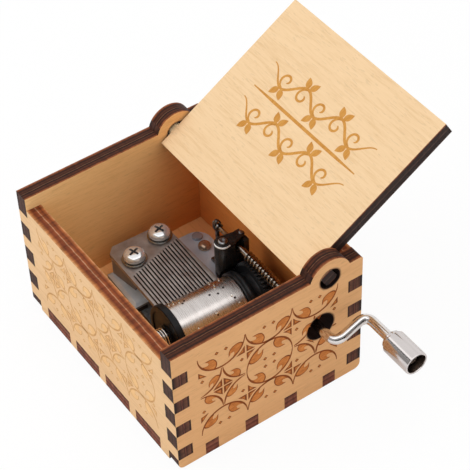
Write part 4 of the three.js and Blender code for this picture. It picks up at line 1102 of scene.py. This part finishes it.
def ribbon(points, wide):
    """A line that gets thinner towards its two ends."""
    left, right = [], []
    last = len(points) - 1
    for i, p in enumerate(points):
        a, b = Vector(points[max(i - 1, 0)]), Vector(points[min(i + 1, last)])
        side = Vector((-(b - a).y, (b - a).x)).normalized()
        share = 0.35 + 0.65 * min(1, 5 * i / last, 5 * (last - i) / last)
        left.append(tuple(Vector(p) + side * wide / 2 * share))
        right.append(tuple(Vector(p) - side * wide / 2 * share))
    return left + right[::-1]


def spot(x, y, r=0.55):
    return [(x + r, y), (x, y + r), (x - r, y), (x, y - r)]


def crossed(x, y, r, gap, leave_out=None, hollow=0.0):
    """A diamond in four parts, with a pale cross left between them."""
    tip, corner = r - gap * 0.4, gap + (r - gap) * (0.5 - hollow)
    return [[(x + sx * gap, y + sy * gap), (x + sx * tip, y + sy * gap),
             (x + sx * corner, y + sy * corner), (x + sx * gap, y + sy * tip)]
            for sx, sy in CORNERS if (sx, sy) != leave_out]


print("points of a leaf:", len(LEAF))

# %% Lay out the scroll
def scroll_ornament(columns, pitch, x0, z0):
    """The rings' lines, the leaves with their ring, and the small filled shapes."""
    r = pitch * 0.492
    tall = r * 1.06
    rise = pitch * 1.032
    lines, leaves, fills = [], [], []
    for i in range(columns):
        x = x0 + (i - (columns - 1) / 2) * pitch
        for side, start, roots in ((1, 181, ROOTS[:2]), (-1, 1, ROOTS[2:])):
            z = z0 + side * rise
            lines.append(arc(x, z, r, r, start, start + 178))
            leaves += [(x, z, r, r, root) for root in roots]
            fills += [spot(x + dx, z - side * 1.2) for dx in (-1.22, 1.22)]
        if i % 2 == 0:                  # a star between four arcs
            hx, hz = r * 0.955, tall * 0.965
            for (sx, sz), root in zip(CORNERS, ROOTS):
                cx, cz = x + sx * r * 0.985, z0 + sz * tall
                start = math.degrees(math.atan2(-sz, -sx))
                lines.append(arc(cx, cz, hx, hz, start - 43.5, start + 43.5, 24))
                leaves.append((cx, cz, hx, hz, root, 0.82))
            fills += crossed(x, z0, 2.7, 0.2)
        else:                           # a full ring
            lines += [arc(x, z0, r, tall, a, a + 181) for a in (0, 180)]
            leaves += [(x, z0, r, tall, root) for root in ROOTS]
            fills += [spot(x + dx, z0 + dz) for dx in (-1.22, 1.22) for dz in (-1.25, 1.25)]
    for i in range(columns + 1):
        x = x0 + (i - columns / 2) * pitch
        inner = 1 if i % 2 == 0 else -1                 # the side on which the star lies
        out = 1 if i == 0 else -1
        for side in (1, -1):
            z = z0 + side * rise * 0.53
            if 0 < i < columns:
                fills += crossed(x, z, 2.6, 0.22, (inner, -side), 0.08)
                fills.append(spot(x + inner * 1.12, z - side * 1.6))
            else:
                fills.append([(x + out * 0.1, z + side * 1.65), (x + out * 2.2, z - side * 0.7),
                              (x + out * 0.1, z - side * 0.2)])
                fills.append(spot(x + out * 1.0, z - side * 1.75))
    return lines, leaves, fills


print("shapes on a side wall:", [len(group) for group in scroll_ornament(3, 12.57, 0, 20.1)])

# %% Keep clear of the crank's hole, and make plates
PLATE_THICK = 0.012


def outside_hole(outline, hole):
    """Draws a shape back to the rim of a round hole, or drops it where it lies inside."""
    if not hole:
        return outline
    x, y, r = hole
    far = [math.hypot(a - x, b - y) for a, b in outline]
    if sum(f < r for f in far) > 0.6 * len(far):
        return None
    return [(x + (a - x) * r / f, y + (b - y) * r / f) if f < r else (a, b)
            for (a, b), f in zip(outline, far)]


def split_at_hole(line, hole):
    """Cuts a line into the runs that lie outside a round hole."""
    runs, run = [], []
    for a, b in line:
        if hole and math.hypot(a - hole[0], b - hole[1]) < hole[2]:
            runs.append(run)
            run = []
        else:
            run.append((a, b))
    return [run for run in runs + [run] if len(run) > 3]


def shrunk(shape, share):
    cx, cy = sum(a for a, b in shape) / len(shape), sum(b for a, b in shape) / len(shape)
    return [(cx + (a - cx) * share, cy + (b - cy) * share) for a, b in shape]


def plate(name, outlines, raise_by):
    """Flat filled curves made a mesh, their top at raise_by above the drawing plane."""
    shapes = [poly_line(name, outline, True, dimensions="2D", fill_mode="BOTH", extrude=PLATE_THICK * MM / 2)
              for outline in outlines]
    obj = joined(as_meshes(shapes), name)
    put(obj, shifted(0, 0, raise_by - PLATE_THICK / 2))
    return obj


def scorched(name, dark, light, hatch_axis=2):
    """Burnt wood with the fine lines that the laser leaves."""
    m = Finish(name, roughness=0.75, specular=0.2)
    scale = [500, 500, 500]
    scale[hatch_axis] = 4200
    lines = m.noise(m.mapped(scale))
    tone = m.ramp(lines * 0.6 + m.grain(420) * 0.4, [(0.34, dark), (0.62, light)])
    return m.finish(Base_Color=tone, Normal=m.bump(lines, 0.3, 0.00004))


print("plates are", PLATE_THICK, "mm thick")

# %% Lay the ornament on the four walls
def engrave(name, side, columns, pitch, x0, z0, leaf_material, line_material, hole=None):
    """side takes the drawing plane to the wall; x0 and z0 are the ornament's middle."""
    lines, leaves, fills = scroll_ornament(columns, pitch, x0, z0)
    ribbons = [ribbon(run, 0.5) for line in lines for run in split_at_hole(line, hole)]
    rims = [leaf(*one) for one in leaves] + fills
    inside = [leaf(*one, grow=0.86) for one in leaves] + [shrunk(shape, 0.45) for shape in fills]
    for part, outlines, height, material in (
            ("Lines", ribbons, 0.016, line_material),
            ("Rims", [outside_hole(one, hole) for one in rims], 0.021, line_material),
            ("Leaves", [outside_hole(one, hole) for one in inside], 0.028, leaf_material)):
        obj = plate(f"{name}_{part}", [one for one in outlines if one], height)
        put(obj, side)
        add_piece(obj, material, "case", "birch_outer")
        print(obj.name, len(obj.data.polygons), "faces")


def wall_face(x, y, right):
    """Takes a drawing plane to an upright wall; right is the way that its X axis runs there."""
    right, up = Vector(right), Vector((0, 0, 1))
    turn = Matrix((right, up, right.cross(up))).transposed().to_4x4()
    return Matrix.Translation((x, y, 0)) @ turn


leaf_burnt = scorched("Engraved_Leaf", srgb(168, 88, 34), srgb(212, 134, 66))
line_burnt = scorched("Engraved_Line", srgb(104, 46, 10), srgb(150, 76, 26))
leaf_faint = scorched("Faint_Leaf", srgb(224, 178, 122), srgb(236, 194, 140))
line_faint = scorched("Faint_Line", srgb(184, 132, 78), srgb(218, 170, 114))
engrave("Crank_Side_Scroll", wall_face(CASE_X, 0, (0, 1, 0)), 3, 12.57, -0.15, 20.1, leaf_burnt, line_burnt,
        (*CRANK_HOLE[:2], 3.78))
engrave("Left_Side_Scroll", wall_face(-CASE_X, 0, (0, -1, 0)), 3, 12.57, 0.15, 20.1, leaf_burnt, line_burnt)
engrave("Front_Scroll", wall_face(0, -CASE_Y, (1, 0, 0)), 4, 12.12, 0.03, 19.1, leaf_faint, line_faint)
engrave("Back_Scroll", wall_face(0, CASE_Y, (-1, 0, 0)), 4, 12.12, 0.03, 19.1, leaf_burnt, line_burnt)

# %% [markdown]
# ## The lid's ornament
# The inside of the lid carries an engraved band: a straight rule with curling stems above and
# below it, in a golden tone. It is drawn as the scrolls are, from closed outlines, on the closed
# lid's lower face, and then swung open with the lid.

# %% Draw the band on the lid
BAND_HALF, WAVES, STEM_OFF, STEM_SWING = 19, 6, 5.4, 2.0


def curl(x, y, r, turn):
    """A tendril that winds inwards, clockwise or against the clock."""
    steps = [(1 - 0.7 * k / 30, math.radians(90 * turn + turn * 330 * k / 30)) for k in range(31)]
    return [(x + r * share * math.cos(a), y + r * share * math.sin(a)) for share, a in steps]


def leaf_drop(x, y, angle, long_=2.9, wide=0.85):
    """A pointed leaf that grows from x, y along the angle."""
    a = math.radians(angle)
    outline = [(t, wide * math.sin(math.pi * t ** 0.8) ** 0.9) for t in (k / 12 for k in range(13))]
    outline += [(t, -w) for t, w in outline[-2:0:-1]]
    return [(x + long_ * t * math.cos(a) - w * math.sin(a), y + long_ * t * math.sin(a) + w * math.cos(a))
            for t, w in outline]


def lid_band():
    """A rule, and above and below it a wavy stem with a tendril and two leaves in each bend."""
    lines = [ribbon([(-BAND_HALF + 2 * BAND_HALF * k / 40, 0) for k in range(41)], 0.8)]
    shapes = []
    step = 2 * BAND_HALF / WAVES
    for middle in (STEM_OFF, -STEM_OFF):
        stem = [(-BAND_HALF + step * k / 12, middle + STEM_SWING * math.cos(math.pi * k / 12))
                for k in range(WAVES * 12 + 1)]
        lines.append(ribbon(stem, 0.7))
        for k in range(1, WAVES):
            x, up = -BAND_HALF + step * k, 1 if k % 2 == 0 else -1
            lines.append(ribbon(curl(x, middle - up * 0.3, 1.95, up), 0.6))
            for dx, angle in ((0.3, 55), (-0.3, 125)):
                shapes.append(leaf_drop(x + dx, middle + up * 2.1, angle * up))
    return lines, shapes


gold = scorched("Lid_Engraving", srgb(184, 124, 52), srgb(206, 150, 76), 0)
lines, shapes = lid_band()
closed = Matrix.Translation(HINGE) @ shifted(0, -20.4, -1.9) @ Matrix.Rotation(math.pi, 4, "X")
swing = Matrix.Translation(HINGE) @ Matrix.Rotation(-OPEN, 4, "X") @ Matrix.Translation(-HINGE)
for part, outlines, height in (("Lines", lines, 0.016), ("Leaves", shapes, 0.02)):
    obj = plate(f"Lid_Scroll_{part}", outlines, height)
    put(obj, swing @ closed)
    add_piece(obj, gold, "lid", "birch_outer")
    print(obj.name, len(obj.data.polygons), "faces")

# %% [markdown]
# ## Light and floor
# The picture was taken on a plain white ground in soft light. A pale world gives even light from
# all round, a large softbox in front on the left models the shapes, and the floor is bright to
# the camera but still takes the box's shadow. A sun lamp would be simpler, but its shadows are
# too hard for a studio.

# %% Light the world
WORLD_STRENGTH = 0.78
world = bpy.data.worlds.new("Studio")
bpy.context.scene.world = world
world.use_nodes = True
nodes, links = world.node_tree.nodes, world.node_tree.links
pale = nodes["Background"]
rays, plain, blend, seen = (nodes.new("ShaderNode" + kind)
                            for kind in ("LightPath", "Background", "MixShader", "Math"))
seen.operation = "MAXIMUM"
for background, strength in ((pale, WORLD_STRENGTH), (plain, 1.0)):
    background.inputs["Color"].default_value = (1, 1, 1, 1)
    background.inputs["Strength"].default_value = strength
# the camera and the reflections see plain white, and the pale world lights the rest
for output, target in (
        (rays.outputs["Is Camera Ray"], seen.inputs[0]), (rays.outputs["Is Glossy Ray"], seen.inputs[1]),
        (seen.outputs[0], blend.inputs[0]), (pale.outputs[0], blend.inputs[1]),
        (plain.outputs[0], blend.inputs[2]), (blend.outputs[0], nodes["World Output"].inputs["Surface"])):
    links.new(output, target)
print("world strength:", WORLD_STRENGTH)

# %% Set up the lamps and the floor
LAMP_AIM = Vector((0, 0, 0.02))
FLOOR_GLOW = 0.93                       # how much of its own shading the camera doesn't see


def softbox(name, place, size, power):
    """A lamp that lights the box but leaves no bright square in its metal."""
    bpy.ops.object.light_add(type="AREA", location=place)
    lamp = bpy.context.object
    lamp.name = name
    lamp.data.shape = "RECTANGLE"
    lamp.data.size, lamp.data.size_y = size
    lamp.data.energy = power
    lamp.rotation_euler = (LAMP_AIM - Vector(place)).to_track_quat("-Z", "Y").to_euler()
    lamp.visible_glossy = False


select_only()
softbox("Key_Softbox", (-0.30, -0.55, 0.60), (0.5, 0.4), 2.3)
softbox("Top_Softbox", (0.15, 0.05, 0.75), (0.45, 0.45), 0.9)

select_only()
bpy.ops.mesh.primitive_grid_add(x_subdivisions=4, y_subdivisions=4, size=3, location=(0, 0, -0.0002))
floor = bpy.context.object
floor.name = "Studio_Floor"
m = Finish("Floor_Paper", roughness=0.9)
m.finish(Base_Color=(0.9, 0.9, 0.9))
floor.data.materials.append(m.show_to("Is Camera Ray", FLOOR_GLOW, m.shader, m.glow(1)))

# %% [markdown]
# ## Cards for the metal
# Polished metal in an all white room looks flat. A photographer hangs dark and grey cards outside
# the view, and their reflections draw lines along rods and tubes. Only reflections see these
# cards: they neither shade the object nor show in the picture. Each one is a long strip, parallel
# to the rod whose streak it makes.

# %% Hang the cards
CARD_FAR, CARD_LONG, CARD_SHIFT = 0.45, 1.2, 0.2


def card(name, along, middle, high, tone):
    """along is the number of the axis it runs along; middle and high are in degrees."""
    a = math.radians(middle)
    side, up = CARD_FAR * math.cos(a), CARD_FAR * math.sin(a)
    across = CARD_FAR * 2 * math.tan(math.radians(high) / 2)
    select_only()
    bpy.ops.mesh.primitive_grid_add(x_subdivisions=8, y_subdivisions=2, size=1)
    strip = bpy.context.object
    strip.name = name
    if along == 0:
        place = Matrix.Translation((-CARD_SHIFT, side, up)) @ Matrix.Rotation(a - math.pi / 2, 4, "X")
        size = (CARD_LONG, across, 1, 1)
    else:
        place = Matrix.Translation((side, CARD_SHIFT, up)) @ Matrix.Rotation(math.pi / 2 - a, 4, "Y")
        size = (across, CARD_LONG, 1, 1)
    put(strip, place @ Matrix.Diagonal(size))
    m = Finish(name + "_Paper")
    clear = m.node("ShaderNodeBsdfTransparent")
    strip.data.materials.append(m.show_to("Is Glossy Ray", 1.0, clear, m.glow(tone)))
    print(name, "tone", tone)


card("Bright_Card", 0, 116, 12, 1.5)
card("Dark_Card", 0, 130, 8, 0.01)
card("Grey_Card", 0, 154, 36, 0.34)
card("Arm_Card", 1, 24, 24, 0.02)
card("Drum_Card", 1, 49, 24, 0.42)
card("Arm_Bright_Card", 1, 72, 18, 1.9)

# %% [markdown]
# ## Last steps
# The picture is shown as it is, without a film curve.

# %% Set the view and finish
bpy.context.scene.view_settings.view_transform = "Standard"
select_only()
